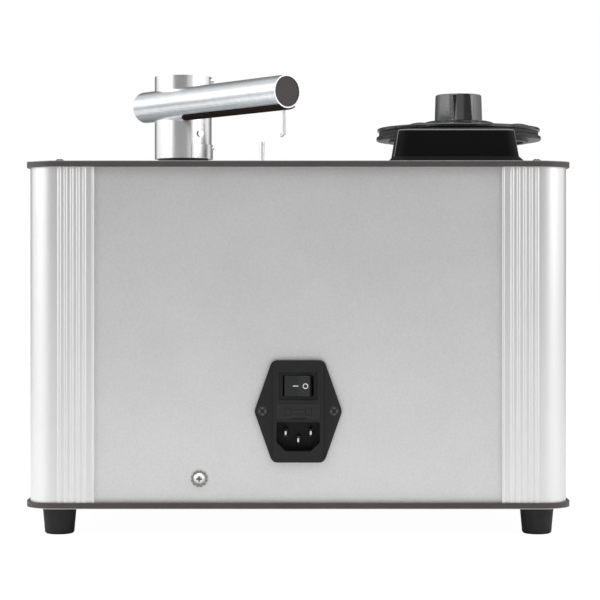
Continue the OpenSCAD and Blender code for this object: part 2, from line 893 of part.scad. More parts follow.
// the rocker in its middle position: round flanks about the pivot and a dished front
module rocker_section() {
    half = rocker_w / 2;
    front = rocker_pivot_depth + rocker_edge_rise;
    dip = rocker_pivot_depth + rocker_dip_rise;
    intersection() {
        circle(half);
        polygon([
            [-half, -rocker_root],
            [half, -rocker_root],
            [half, front],
            [0, dip],
            [-half, front]
        ]);
    }
}

module inlet_rocker() {
    color("#30343a")
    on_rear(0, inlet_z) translate([0, rocker_v, rocker_pivot_w]) rotate([0, -rocker_throw / 2, 0])
        rotate([-90, 0, 0]) mirror([0, 1, 0]) union() {
            translate([0, 0, -rocker_h / 2]) linear_extrude(rocker_h) rocker_section();
            translate([0, 0, -rocker_h / 2 - rocker_pin_len]) {
                cylinder(d = rocker_pin_d, h = rocker_h + 2 * rocker_pin_len);
            }
        }
}

module fuse_drawer() {
    notch_w = 8;
    notch_h = 0.6;
    color("#2b2b2b")
    on_rear(0, inlet_z) translate([0, drawer_v, 0]) difference() {
        union() {
            translate([0, 0, inlet_face - drawer_face_t]) linear_extrude(drawer_face_t)
                square([drawer_w, drawer_h], center = true);
            translate([0, 0, inlet_face - drawer_face_t - tray_depth])
                linear_extrude(tray_depth + drawer_face_t / 2) square([tray_w, tray_h], center = true);
        }
        // cradle for the fuse, open at the top
        translate([0, tray_h / 2 - fuse_d / 2, inlet_face - drawer_face_t - fuse_inset])
            cube([fuse_len, fuse_d, fuse_d] + 2 * loose_play * [1, 1, 1], center = true);
        // pull notch in the lower edge of the face
        translate([-notch_w / 2, -drawer_h / 2 - cut, inlet_face - 1])
            cube([notch_w, notch_h + cut, drawer_face_t]);
    }
}

module mains_fuse() {
    cradle_v = drawer_v + tray_h / 2 - fuse_d / 2;
    color("lightgray")
    on_rear(-fuse_len / 2, inlet_z)
        translate([0, cradle_v - loose_play / 2, inlet_face - drawer_face_t - fuse_inset])
            rotate([0, 90, 0]) union() {
                cap_len = 5;
                translate([0, 0, cap_len / 2]) cylinder(d = fuse_d - 0.4, h = fuse_len - cap_len);
                cylinder(d = fuse_d, h = cap_len);
                translate([0, 0, fuse_len - cap_len]) cylinder(d = fuse_d, h = cap_len);
            }
}

// flat pins with tapered tips, and tabs behind them
module inlet_pins() {
    neck = inlet_face - pin_inset - pin_taper;
    color("silver")
    on_rear(0, inlet_z) for (place = pin_places) {
        translate([place.x, place.y, 0]) {
            hull() {
                translate([0, 0, -inlet_depth]) linear_extrude(inlet_depth + neck)
                    square([pin_t, pin_h], center = true);
                linear_extrude(neck + pin_taper) square([pin_t / 2, pin_h / 2], center = true);
            }
            translate([0, 0, -inlet_depth - tab_len]) linear_extrude(tab_len + cut)
                square([tab_t, pin_h], center = true);
        }
    }
}

module inlet_screws() {
    color("#1c1c1c")
    for (x = [-inlet_pitch / 2, inlet_pitch / 2]) {
        on_rear(x, inlet_z, inlet_flange_t)
            dome_screw(inlet_screw_d, inlet_head_d, inlet_head_h, inlet_flange_t + panel_t + inlet_nut_t + 1);
    }
}

module earth_washer() {
    tooth_gap = 1.1;
    color("silver")
    on_rear(-earth_x, earth_z) difference() {
        ring(earth_washer_d, case_screw_d + 2 * run_play, earth_washer_t);
        for (i = [0 : washer_teeth - 1]) {
            rotate([0, 0, i * 360 / washer_teeth]) translate([earth_washer_d / 2, 0, -cut])
                cylinder(d = tooth_gap, h = 2 * cut + earth_washer_t, $fn = 16);
        }
    }
}

module earth_screw() {
    color("silver")
    on_rear(-earth_x, earth_z, earth_washer_t)
        dome_screw(case_screw_d, earth_head_d, earth_head_h, earth_washer_t + panel_t + earth_nut_t + 2);
}

module panel_nuts() {
    color("silver") {
        for (x = [-inlet_pitch / 2, inlet_pitch / 2]) {
            on_rear(x, inlet_z, -panel_t - inlet_nut_t)
                hex_nut(inlet_nut_w, inlet_screw_d + 2 * press_play, inlet_nut_t);
        }
        on_rear(-earth_x, earth_z, -panel_t - earth_nut_t)
            hex_nut(earth_nut_w, case_screw_d + 2 * press_play, earth_nut_t);
    }
}

// ---- sprung column of the vacuum arm ----

// black cup inside the column's open foot; the window in its wall guides and stops the sleeve's key
module column_base() {
    color("#1c1c1c")
    translate(column_pos) difference() {
        union() {
            cylinder(d = base_rim_d, h = base_rim_t);
            cylinder(d = cup_d, h = cup_h);
        }
        translate([0, 0, cup_floor_t]) cylinder(d = cup_d - 2 * cup_wall, h = cup_h);
        translate([0, 0, -cut]) cylinder(d = pipe_d + 2 * slide_play, h = cup_h);
        translate([0, -key_w / 2 - slide_play, key_top - key_t - lift_travel - slide_play]) {
            cube([cup_d, key_w + 2 * slide_play, key_t + lift_travel + slide_play + run_play]);
        }
        for (turn = [60, 180, 300]) {
            rotate([0, 0, turn]) translate([base_screw_ring_r, 0, -cut])
                cylinder(d = flange_hole_d, h = cut + flange_screw_grip + loose_play);
        }
    }
}

module suction_pipe() {
    color("lightgray")
    translate(column_pos) difference() {
        union() {
            translate([0, 0, -plate_t - pipe_tail]) cylinder(d = pipe_d, h = plate_t + pipe_tail + pipe_top);
            translate([0, 0, -plate_t - flange_plate_t]) cylinder(d = pipe_flange_d, h = flange_plate_t);
        }
        translate([0, 0, -plate_t - pipe_tail - cut]) {
            cylinder(d = pipe_d - 2 * pipe_wall, h = plate_t + pipe_tail + pipe_top + 2 * cut);
        }
        for (turn = [60, 180, 300]) {
            rotate([0, 0, turn]) translate([base_screw_ring_r, 0, -plate_t - flange_plate_t - cut])
                cylinder(d = flange_hole_d, h = flange_plate_t + 2 * cut);
        }
    }
}

// screws that come up from inside the case: column base, bearing housing and cowl
module flange_screws() {
    color("gray") {
        at_base_screws() translate([0, 0, -plate_t - flange_plate_t]) mirror([0, 0, 1])
            dome_screw(flange_screw_d, flange_head_d, flange_head_h, flange_screw_len);
        at_bearing_screws() translate([0, 0, -plate_t - bearing_flange_t]) mirror([0, 0, 1])
            dome_screw(flange_screw_d, flange_head_d, flange_head_h, flange_screw_len);
        at_cowl_lugs() translate([0, 0, -plate_t]) mirror([0, 0, 1])
            dome_screw(flange_screw_d, flange_head_d, flange_head_h, plate_t + flange_screw_grip);
    }
}

// points of one ring of the spring's wire, at turn angle t
function coil_ring(t, r, wire_r, z) =
    [for (k = [0 : 5]) let (a = k * 60)
        [(r + wire_r * cos(a)) * cos(t), (r + wire_r * cos(a)) * sin(t), z + wire_r * sin(a)]];

module lift_spring() {
    steps = 12;
    sides = 6;
    seat_gap = 0.05;
    wire_r = spring_wire_d / 2;
    coil_r = pipe_d / 2 + 1.2 + wire_r;
    low = cup_floor_t + wire_r + seat_gap;
    high = sleeve_foot - wire_r - seat_gap;
    count = ceil(steps * spring_turns);
    points = [for (i = [0 : count])
        each coil_ring(i * 360 / steps, coil_r, wire_r, low + (high - low) * i / count)];
    walls = [for (i = [0 : count - 1], k = [0 : sides - 1])
        let (a = i * sides + k, b = i * sides + (k + 1) % sides)
        each [[a, b + sides, b], [a, a + sides, b + sides]]];
    last = count * sides;
    caps = [for (k = [1 : sides - 2]) each [[0, k, k + 1], [last, last + k + 1, last + k]]];
    color("silver") translate(column_pos) polyhedron(points, concat(walls, caps));
}

// sleeve that slides on the suction pipe and carries the turning column; its key is a springy tongue
module guide_sleeve() {
    key_reach = cup_d / 2 - slide_play;
    tongue_r = sleeve_flange_d / 2;
    color("goldenrod")
    translate(column_pos) difference() {
        union() {
            translate([0, 0, sleeve_foot]) {
                cylinder(d = sleeve_flange_d, h = head_rise - run_play - sleeve_foot);
                cylinder(d = sleeve_d, h = sleeve_top - sleeve_foot);
            }
            translate([tongue_r - key_wall, -key_w / 2, key_top - key_t]) {
                cube([key_reach - tongue_r + key_wall, key_w, key_t]);
            }
            intersection() {
                translate([tongue_r - key_wall, -key_w / 2, key_top - key_t]) {
                    cube([key_wall, key_w, sleeve_foot + cut - key_top + key_t]);
                }
                cylinder(d = sleeve_flange_d, h = sleeve_top);
            }
        }
        translate([0, 0, sleeve_foot - cut]) cylinder(d = pipe_d + 2 * run_play, h = sleeve_top);
        translate([0, 0, groove_rise - groove_w / 2]) {
            ring(sleeve_d + 2 * cut, sleeve_d - 2 * groove_depth, groove_w);
        }
    }
}

module arm_column() {
    color("gainsboro")
    in_arm() difference() {
        translate([0, 0, column_gap]) cylinder(d = column_d, h = column_top - column_gap);
        // hollow foot, bore for the sleeve, and suction hole up to the tube
        translate([0, 0, column_gap - cut]) {
            cylinder(d = column_d - 2 * column_wall, h = head_rise - column_gap + cut);
        }
        translate([0, 0, column_gap]) {
            cylinder(d = sleeve_d + 2 * run_play, h = sleeve_top + loose_play - column_gap);
        }
        suction_port(sleeve_top, tube_rise);
        // cross bore that the tube lies in, partly outside the column
        along_tube(tube_d + 2 * press_play, -column_d, column_d);
        // seat of the cap, and the three set screws
        translate([0, 0, column_top - cap_t]) cylinder(d = column_d - 2 * column_wall, h = cap_t + cut);
        lock_hole(lock_screw_d + 2 * press_play, column_d);
        cap_screw_place() cylinder(d = set_screw_d + 2 * press_play, h = column_d);
    }
}

// hole between the sleeve's bore and the tube
module suction_port(low, high) {
    translate([0, -port_hole_d / 2 - 1.5, low]) cylinder(d = port_hole_d, h = high - low);
}

// radial hole towards the arm at the height of the sleeve's groove
module lock_hole(d, h) {
    translate([0, 0, groove_rise]) rotate([0, 90, 0]) cylinder(d = d, h = h);
}

// place of the cap's set screw, on the right side seen from the rear
module cap_screw_place() {
    translate([0, 0, column_top - cap_t / 2]) rotate([0, 0, arm_park]) rotate([0, 90, 0]) children();
}

// half band on the foot's right side, seen from the rear
module column_collar() {
    color("gainsboro")
    translate(column_pos + [0, 0, column_gap]) difference() {
        ring(collar_d, column_d + 2 * press_play, collar_h);
        rotate([0, 0, collar_turn]) translate([-collar_d, -collar_d, -cut]) {
            cube([collar_d, 2 * collar_d, collar_h + 2 * cut]);
        }
        at_collar_screws() cylinder(d = 2 + 2 * press_play, h = collar_d);
    }
}

module at_collar_screws() {
    for (turn = [-5, 95]) {
        rotate([0, 0, turn]) translate([0, 0, collar_h - 2]) rotate([0, 90, 0]) children();
    }
}

module column_cap() {
    color("gainsboro")
    translate(column_pos) difference() {
        translate([0, 0, column_top - cap_t]) {
            cylinder(d = column_d - 2 * column_wall - 2 * press_play, h = cap_t);
        }
        translate([0, 0, column_top - cap_t / 2]) rotate([0, 90, 0])
            cylinder(d = set_screw_d + 2 * press_play, h = column_d);
    }
}

// set screws of the column: sleeve lock, cap and collar
module column_screws() {
    tip_r = sleeve_d / 2 - groove_depth + loose_play;
    cap_tip_r = column_d / 2 - column_wall - 3;
    color("silver") {
        in_arm() {
            difference() {
                union() {
                    lock_hole(lock_screw_d, column_d / 2 + 0.4);
                    translate([column_d / 2 + 0.4, 0, groove_rise]) rotate([0, 90, 0]) {
                        cylinder(d = lock_head_d, h = 0.8);
                    }
                }
                translate([0, 0, groove_rise - lock_head_d]) cylinder(r = tip_r, h = 2 * lock_head_d);
            }
            difference() {
                cap_screw_place() cylinder(d = set_screw_d, h = column_d / 2 + 1.2);
                translate([0, 0, column_top - cap_t - cut]) cylinder(r = cap_tip_r, h = cap_t + 2 * cut);
            }
        }
        translate(column_pos) translate([0, 0, column_gap]) at_collar_screws() {
            translate([0, 0, column_d / 2 + press_play]) cylinder(d = 2, h = collar_wall + 0.7);
        }
    }
}

// ---- arm tube ----

module arm_tube() {
    color("gainsboro")
    in_arm() difference() {
        along_tube(tube_d, -tube_tail, tube_reach);
        along_tube(tube_d - 2 * tube_wall, -tube_tail - cut, tube_reach + cut);
        suction_port(sleeve_top, tube_rise);
        slot_cut();
        hook_place() cylinder(d = hook_d + 2 * press_play, h = tube_d / 2);
    }
}

// slot through the strip and the tube's lower wall
module slot_cut() {
    margin = 6;
    translate([strip_end + margin, -tube_offset - slot_w / 2, tube_rise - tube_d])
        cube([strip_len - 2 * margin - stopper_t, slot_w, tube_d]);
}

module hook_place() {
    translate([tube_reach - hook_inset, -tube_offset, tube_rise - tube_d / 2 - strip_t - cut]) children();
}

module arm_stoppers() {
    inner_d = tube_d - 2 * tube_wall - 2 * press_play;
    sink = 0.6;
    color("dimgray")
    in_arm() {
        difference() {
            along_tube(inner_d, tube_reach - sink - stopper_t, tube_reach - sink);
            hook_place() cylinder(d = hook_d + 2 * press_play, h = tube_d / 2);
        }
        along_tube(inner_d, -tube_tail + sink, -tube_tail + sink + stopper_t);
    }
}

// plan outline of the strip: round at the column's end
module strip_plan() {
    translate([strip_end + strip_w / 2, -tube_offset]) circle(d = strip_w);
    translate([strip_end + strip_w / 2, -tube_offset - strip_w / 2])
        square([strip_len - strip_w / 2, strip_w]);
}

module velvet_strip() {
    color("#101010")
    in_arm() difference() {
        intersection() {
            along_tube(tube_d + 2 * strip_t, strip_end, tube_reach);
            translate([0, 0, tube_rise - tube_d]) linear_extrude(tube_d) strip_plan();
        }
        along_tube(tube_d + 2 * press_play, strip_end - cut, tube_reach + cut);
        slot_cut();
        hook_place() cylinder(d = hook_d + 2 * press_play, h = tube_d / 2);
    }
}

// bent wire pin, pressed up through the tube into the end stopper
module hook_pin() {
    stem_top = 5.5;
    foot_drop = 30;
    color("gainsboro")
    in_arm() translate([tube_reach - hook_inset, -tube_offset, tube_rise - tube_d / 2]) {
        translate([0, 0, -hook_drop + hook_d]) cylinder(d = hook_d, h = hook_drop - hook_d + stem_top);
        translate([0, 0, -hook_drop + hook_d]) sphere(d = hook_d);
        translate([0, 0, -hook_drop + hook_d]) rotate([0, -90 - foot_drop, 0]) {
            cylinder(d = hook_d, h = hook_foot_len - hook_d / 2);
            translate([0, 0, hook_foot_len - hook_d / 2]) sphere(d = hook_d);
        }
    }
}

// ---- platter and clamp ----

module bearing_housing() {
    color("gray")
    translate(platter_pos) difference() {
        union() {
            translate([0, 0, -plate_t - bearing_depth]) {
                cylinder(d = bearing_d, h = bearing_depth + plate_t + bearing_nose);
            }
            translate([0, 0, -plate_t - bearing_flange_t]) {
                cylinder(d = bearing_flange_d, h = bearing_flange_t);
            }
        }
        translate([0, 0, -plate_t - bearing_depth + bearing_base_t]) {
            cylinder(d = spindle_d + 2 * run_play, h = bearing_depth + plate_t + bearing_nose);
        }
        for (turn = [30, 150, 270]) {
            rotate([0, 0, turn]) translate([bearing_screw_ring_r, 0, -plate_t - bearing_flange_t - cut])
                cylinder(d = flange_hole_d, h = bearing_flange_t + 2 * cut);
        }
    }
}

module spindle() {
    nose_top = mat_top + nose_h;
    color("silver")
    translate(platter_pos) {
        translate([0, 0, spindle_foot]) cylinder(d = spindle_d, h = mat_top - mat_t - spindle_foot);
        cylinder(d = nose_d, h = nose_top - nose_d / 2);
        translate([0, 0, nose_top - nose_d / 2]) sphere(d = nose_d);
    }
}

module platter() {
    ring_lip = 3;
    color("#202020")
    translate(platter_pos) difference() {
        union() {
            rotate_extrude() polygon([
                [0, platter_rise],
                [platter_d / 2 - 0.5, platter_rise],
                [platter_d / 2, platter_rise + 0.5],
                [platter_d / 2, platter_rise + platter_t - 0.5],
                [platter_d / 2 - 0.5, platter_rise + platter_t],
                [0, platter_rise + platter_t]
            ]);
            translate([0, 0, platter_rise - under_ring_t]) {
                ring(under_ring_d, under_ring_d - 2 * ring_lip, under_ring_t + platter_t / 2);
            }
            translate([0, 0, hub_foot]) cylinder(d = hub_d, h = platter_rise + platter_t / 2 - hub_foot);
        }
        translate([0, 0, -cut]) {
            cylinder(d = spindle_d + 2 * press_play, h = platter_rise + platter_t + 2 * cut);
        }
    }
}

module platter_mat() {
    mat_inset = 1.5;
    color("#181818")
    translate(platter_pos + [0, 0, mat_top - mat_t]) {
        ring(platter_d - 2 * mat_inset, spindle_d + 2 * slide_play, mat_t);
    }
}

// grooved pulley with a lip on each side, its belt seat starting at z = belt_rise
module belt_pulley(seat_d, bore_d) {
    seat_w = belt_w + 2 * loose_play;
    translate([0, 0, belt_rise - loose_play - pulley_lip_t]) difference() {
        union() {
            cylinder(d = seat_d, h = seat_w + 2 * pulley_lip_t);
            cylinder(d = seat_d + 2 * pulley_lip, h = pulley_lip_t);
            translate([0, 0, pulley_lip_t + seat_w]) cylinder(d = seat_d + 2 * pulley_lip, h = pulley_lip_t);
        }
        translate([0, 0, -cut]) cylinder(d = bore_d, h = seat_w + 2 * pulley_lip_t + 2 * cut);
    }
}

module platter_pulley() {
    color("#303030") translate(platter_pos) belt_pulley(pulley_d, hub_d + 2 * press_play);
}

module clamp_disc() {
    rim = clamp_d / 2;
    edge = 0.5;
    boss = clamp_boss_d / 2;
    shoulder = clamp_foot + 5;
    color("#262626")
    translate(platter_pos) difference() {
        rotate_extrude() polygon([
            [0, clamp_foot],
            [rim - edge, clamp_foot],
            [rim, clamp_foot + edge],
            [rim, clamp_foot + clamp_rim_t - edge],
            [rim - edge, clamp_foot + clamp_rim_t],
            [pad_ring_r - pad_d / 2, clamp_foot + clamp_rim_t + edge],
            [boss + 2.2, shoulder],
            [boss, clamp_boss_top - edge],
            [boss - 2, clamp_boss_top],
            [0, clamp_boss_top]
        ]);
        translate([0, 0, clamp_foot - cut]) cylinder(d = clamp_bore_d, h = clamp_boss_rise + 2 * cut);
        at_pads() translate([0, 0, pad_seat]) cylinder(d = pad_d + 2 * press_play, h = clamp_boss_rise);
    }
}

module at_pads() {
    for (i = [0 : 3]) {
        rotate([0, 0, pad_turn + 90 * i]) translate([pad_ring_r, 0, 0]) children();
    }
}

module clamp_pads() {
    crown = 1.4;
    crown_r = (pow(pad_d / 2, 2) + pow(crown, 2)) / (2 * crown);
    color("#303030")
    translate(platter_pos) at_pads() intersection() {
        translate([0, 0, pad_seat]) cylinder(d = pad_d, h = pad_top - pad_seat);
        translate([0, 0, pad_top - crown_r]) sphere(crown_r, $fn = 120);
    }
}

module clamp_seal() {
    color("#141414")
    translate(platter_pos) translate([0, 0, mat_top]) ring(clamp_d - 2, clamp_d - 2 - 2 * seal_w, seal_t);
}

// tapered knob with a scooped face between each pair of corners
module clamp_knob() {
    base_r = knob_d / 2;
    top_r = base_r - knob_taper;
    face_r = base_r * cos(180 / knob_faces) - knob_scoop;
    top = clamp_boss_top + knob_h;
    color("#3c3c3c")
    translate(platter_pos) difference() {
        rotate_extrude() {
            polygon([
                [0, clamp_boss_top],
                [base_r, clamp_boss_top],
                [top_r, top - knob_edge_r],
                [top_r - knob_edge_r, top],
                [0, top]
            ]);
            translate([top_r - knob_edge_r, top - knob_edge_r]) circle(knob_edge_r);
        }
        for (i = [0 : knob_faces - 1]) {
            rotate([0, 0, knob_turn + (i + 0.5) * 360 / knob_faces])
                translate([face_r + knob_scoop_r, 0, clamp_boss_top - cut])
                    cylinder(r = knob_scoop_r, h = knob_h + 2 * cut);
        }
        translate([0, 0, clamp_boss_top - cut]) {
            cylinder(d = clamp_bore_d, h = mat_top + nose_h - clamp_boss_top + cut + loose_play);
        }
    }
}

// ---- drive ----

module platter_motor() {
    color("slategray")
    translate(motor_pos) difference() {
        union() {
            translate([0, 0, -plate_t - motor_h]) cylinder(d = motor_d, h = motor_h);
            translate([0, 0, -plate_t - 1]) cylinder(d = motor_boss_d, h = plate_t + 1);
        }
        translate([0, 0, -plate_t - 8]) cylinder(d = motor_shaft_d + 2 * run_play, h = plate_t + 8 + cut);
        for (turn = [45 : 90 : 315]) {
            rotate([0, 0, turn]) translate([motor_screw_pcd / 2, 0, -motor_screw_len - loose_play])
                cylinder(d = flange_hole_d, h = motor_screw_len + loose_play);
        }
    }
}

module motor_screws() {
    color("gray") at_motor_screws()
        dome_screw(flange_screw_d, flange_head_d, flange_head_h, motor_screw_len);
}

module motor_pulley() {
    color("gainsboro")
    translate(motor_pos) {
        belt_pulley(motor_pulley_d, motor_shaft_d - 1);
        translate([0, 0, run_play - plate_t - 8]) {
            cylinder(d = motor_shaft_d, h = plate_t + 8 + belt_rise + belt_w + pulley_lip_t);
        }
    }
}

// outline round both pulleys at distance t from their seats: two discs and the strip between the tangents
module belt_outline(t) {
    a = [platter_pos.x, platter_pos.y];
    b = [motor_pos.x, motor_pos.y];
    ra = pulley_d / 2 + t;
    rb = motor_pulley_d / 2 + t;
    line = b - a;
    lead = atan2(line.y, line.x);
    spread = acos((ra - rb) / norm(line));
    n1 = [cos(lead + spread), sin(lead + spread)];
    n2 = [cos(lead - spread), sin(lead - spread)];
    translate(a) circle(ra);
    translate(b) circle(rb);
    polygon([a + ra * n2, b + rb * n2, b + rb * n1, a + ra * n1]);
}

module drive_belt() {
    color("#1a1a1a")
    translate([0, 0, z_deck + belt_rise]) linear_extrude(belt_w) difference() {
        belt_outline(belt_t + run_play);
        belt_outline(run_play);
    }
}

// form of the cowl, or of its hollow at an inset: it narrows upwards to a rounded top edge
module cowl_form(inset) {
    edge_r = max(cowl_edge_r - inset, 0.6);
    corner_r = cowl_corner_r - inset;
    top_d = cowl_side_d - 2 * cowl_lean;
    hull() {
        linear_extrude(0.01) rounded_rect(cowl_side_w - 2 * inset, cowl_side_d - 2 * inset, corner_r);
        for (x = [-1, 1], y = [-1, 1]) {
            translate([x * (cowl_top_w / 2 - cowl_corner_r), y * (top_d / 2 - cowl_corner_r), cowl_h])
                translate([0, 0, -inset - edge_r])
                    rotate_extrude($fn = 32) translate([corner_r - edge_r, 0]) circle(edge_r, $fn = 16);
        }
    }
}

module motor_cowl() {
    color("#101010")
    translate(motor_pos) difference() {
        union() {
            difference() {
                union() {
                    cowl_form(0);
                    hull() {
                        linear_extrude(0.6) rounded_rect(cowl_foot_w, cowl_depth, cowl_corner_r + 2);
                        linear_extrude(cowl_flare_h)
                            rounded_rect(cowl_side_w - 1.4, cowl_side_d - 1.4, cowl_corner_r);
                    }
                }
                translate([0, 0, -0.01]) cowl_form(cowl_wall);
            }
            // screw lugs inside the side walls
            for (x = [-cowl_lug_x, cowl_lug_x]) {
                translate([x, 0, 0]) cylinder(d = cowl_lug_d, h = cowl_lug_h);
            }
        }
        // mouth for the belt in the front wall
        translate([-cowl_mouth_w / 2, 0, -cut]) cube([cowl_mouth_w, cowl_depth, cowl_mouth_h + cut]);
        for (x = [-cowl_lug_x, cowl_lug_x]) {
            translate([x, 0, -cut]) cylinder(d = flange_hole_d, h = cut + flange_screw_grip + loose_play);
        }
    }
}

// ---- switches ----

module switch_bodies() {
    color("#303030")
    at_switches() difference() {
        union() {
            translate([-switch_body_w / 2, -switch_body_d / 2, -plate_t - switch_body_h]) {
                cube([switch_body_w, switch_body_d, switch_body_h]);
            }
            translate([0, 0, -plate_t - 1]) cylinder(d = bush_d, h = plate_t + 1 + bush_rise);
            for (x = [-tab_pitch, 0, tab_pitch]) {
                translate([x - tab_t / 2, -tab_w / 2, -plate_t - switch_body_h - tab_len])
                    cube([tab_t, tab_w, tab_len + cut]);
            }
        }
        translate([0, 0, lever_pivot]) sphere(d = lever_ball_d + 2 * slide_play);
        translate([0, 0, lever_pivot]) cylinder(d = lever_ball_d + 2 * slide_play, h = bush_rise);
        translate([0, 0, lever_pivot]) rotate([90, 0, 0])
            cylinder(d = lever_pin_d + 2 * run_play, h = lever_pin_len + 2 * slide_play, center = true);
    }
}

module switch_nuts() {
    color("silver") at_switches() hex_nut(switch_nut_w, bush_d + 2 * press_play, switch_nut_t);
}

// chrome lever: a ball on a cross pin in the bush, a stem that widens towards a round tip
module toggle_lever() {
    reach = lever_rise - lever_pivot - lever_tip_d / 2;
    sphere(d = lever_ball_d);
    rotate([90, 0, 0]) cylinder(d = lever_pin_d, h = lever_pin_len, center = true);
    cylinder(d1 = lever_root_d, d2 = lever_tip_d, h = reach);
    translate([0, 0, reach]) sphere(d = lever_tip_d);
}

module motor_lever() {
    color("gainsboro") translate(motor_switch_pos + [0, 0, lever_pivot]) toggle_lever();
}

module vacuum_lever() {
    color("gainsboro")
    translate(vacuum_switch_pos + [0, 0, lever_pivot]) rotate([0, -lever_throw, 0]) toggle_lever();
}

// ---- waste tank and blower ----

module waste_tank() {
    inner = tank_wall;
    color("whitesmoke")
    difference() {
        union() {
            translate([tank_mid_x, tank_mid_y, z_floor]) linear_extrude(tank_h)
                rounded_rect(tank_w, tank_d, tank_corner_r);
            translate([panel_side_x, drain_y, drain_z]) rotate([0, 90, 0])
                cylinder(d = drain_boss_d, h = tank_x - panel_side_x + inner / 2);
        }
        translate([tank_mid_x, tank_mid_y, z_floor + inner]) linear_extrude(tank_h)
            rounded_rect(tank_w - 2 * inner, tank_d - 2 * inner, tank_corner_r - inner);
        translate([panel_side_x - cut, drain_y, drain_z]) rotate([0, 90, 0])
            cylinder(d = drain_d, h = tank_x - panel_side_x + inner + 2 * cut);
    }
}

module tank_lid() {
    rim_inset = tank_wall + loose_play;
    color("lightgray")
    difference() {
        union() {
            translate([tank_mid_x, tank_mid_y, tank_top]) linear_extrude(lid_t)
                rounded_rect(tank_w, tank_d, tank_corner_r);
            translate([tank_mid_x, tank_mid_y, tank_top - lid_plug_t])
                linear_extrude(lid_plug_t + cut)
                    rounded_rect(tank_w - 2 * rim_inset, tank_d - 2 * rim_inset, tank_corner_r - rim_inset);
            translate([column_pos.x, column_pos.y, lid_top - cut]) cylinder(d = pipe_d, h = stub_h + cut);
        }
        translate([column_pos.x, column_pos.y, tank_top - lid_plug_t - cut]) {
            cylinder(d = pipe_d - 2 * pipe_wall, h = lid_t + lid_plug_t + stub_h + 2 * cut);
        }
        translate([blower_pos.x, blower_pos.y, tank_top - lid_plug_t - cut]) {
            cylinder(d = fan_eye_d, h = lid_t + lid_plug_t + 2 * cut);
        }
    }
}

module suction_hose() {
    low = lid_top + 0.5;
    high = z_ceiling - flange_plate_t - 0.5;
    color("#404040")
    translate([column_pos.x, column_pos.y, low]) ring(hose_d, pipe_d + 2 * press_play, high - low);
}

module blower_gasket() {
    color("#202020") translate(blower_pos) ring(blower_d, blower_d - 2 * gasket_w, gasket_t);
}

module blower_housing() {
    duct_w = 30;
    duct_h = 12;
    duct_wall = 2;
    duct_foot = gasket_t + 6;
    duct_reach = 8;
    motor_foot = gasket_t + fan_case_h;
    color("gray")
    translate(blower_pos) difference() {
        union() {
            translate([0, 0, gasket_t]) cylinder(d = blower_d, h = fan_case_h);
            translate([0, 0, motor_foot]) cylinder(d = blower_motor_d, h = blower_motor_h);
            translate([0, -duct_w / 2, duct_foot])
                cube([blower_d / 2 + duct_reach, duct_w, duct_h + 2 * duct_wall]);
        }
        translate([0, 0, gasket_t - cut]) {
            cylinder(d = blower_d - 2 * fan_wall, h = fan_case_h - fan_wall + cut);
        }
        translate([0, duct_wall - duct_w / 2, duct_foot + duct_wall])
            cube([blower_d, duct_w - 2 * duct_wall, duct_h]);
        translate([0, 0, gasket_t]) {
            cylinder(d = fan_shaft_d + 2 * run_play, h = fan_case_h + fan_shaft_reach + 2 * cut);
        }
    }
}

// fan: two discs with curved blades between them, on its shaft
module blower_fan() {
    foot = gasket_t + fan_gap;
    blade_r = fan_d / 3;
    color("silver")
    translate(blower_pos) {
        translate([0, 0, foot]) ring(fan_d, fan_eye_d, fan_plate_t);
        translate([0, 0, foot + fan_h - fan_plate_t]) cylinder(d = fan_d, h = fan_plate_t);
        translate([0, 0, foot + fan_plate_t / 2]) linear_extrude(fan_h - fan_plate_t) intersection() {
            difference() {
                circle(d = fan_d - 1);
                circle(d = fan_eye_d + 2);
            }
            for (i = [0 : fan_blades - 1]) {
                rotate(i * 360 / fan_blades) translate([blade_r / 2, blade_r]) difference() {
                    circle(blade_r + 0.6);
                    circle(blade_r - 0.6);
                    translate([-fan_d, -fan_d / 2]) square(fan_d);
                }
            }
        }
        translate([0, 0, foot + fan_h - fan_plate_t]) {
            cylinder(d = fan_shaft_d, h = fan_case_h + fan_shaft_reach - fan_gap - fan_h + fan_plate_t);
        }
    }
}

// push-in rubber bung in the tank's drain, its head almost flush with the left panel
module drain_bung() {
    dimple_r = 15;
    dimple = 0.6;
    color("#202020")
    translate([panel_side_x, drain_y, drain_z]) rotate([0, -90, 0]) difference() {
        union() {
            cylinder(d = bung_head_d, h = bung_head_t);
            translate([0, 0, -bung_len]) {
                cylinder(d = drain_d - 2 * press_play, h = bung_len + bung_head_t / 2);
            }
        }
        // finger dimple
        translate([0, 0, bung_head_t - dimple + dimple_r]) sphere(dimple_r);
    }
}

bottom_plate();
top_plate();
corner_post(0, 0);  // post_rear_left
corner_post(1, 0);  // post_rear_right
corner_post(0, 1);  // post_front_left
corner_post(1, 1);  // post_front_right
rear_panel();
front_panel();
left_panel();
right_panel();
deck_screws();
foot_screws();
rubber_feet();
inlet_housing();
inlet_rocker();
fuse_drawer();
mains_fuse();
inlet_pins();
inlet_screws();
earth_screw();
earth_washer();
panel_nuts();
column_base();
suction_pipe();
flange_screws();
lift_spring();
guide_sleeve();
arm_column();
column_collar();
column_cap();
column_screws();
arm_tube();
arm_stoppers();
velvet_strip();
hook_pin();
bearing_housing();
spindle();
platter();
platter_mat();
platter_pulley();
clamp_disc();
clamp_seal();
clamp_pads();
clamp_knob();
platter_motor();
motor_screws();
motor_pulley();
drive_belt();
motor_cowl();
switch_bodies();
switch_nuts();
motor_lever();
vacuum_lever();
waste_tank();
tank_lid();
suction_hose();
blower_housing();
blower_gasket();
blower_fan();
drain_bung();
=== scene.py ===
import math

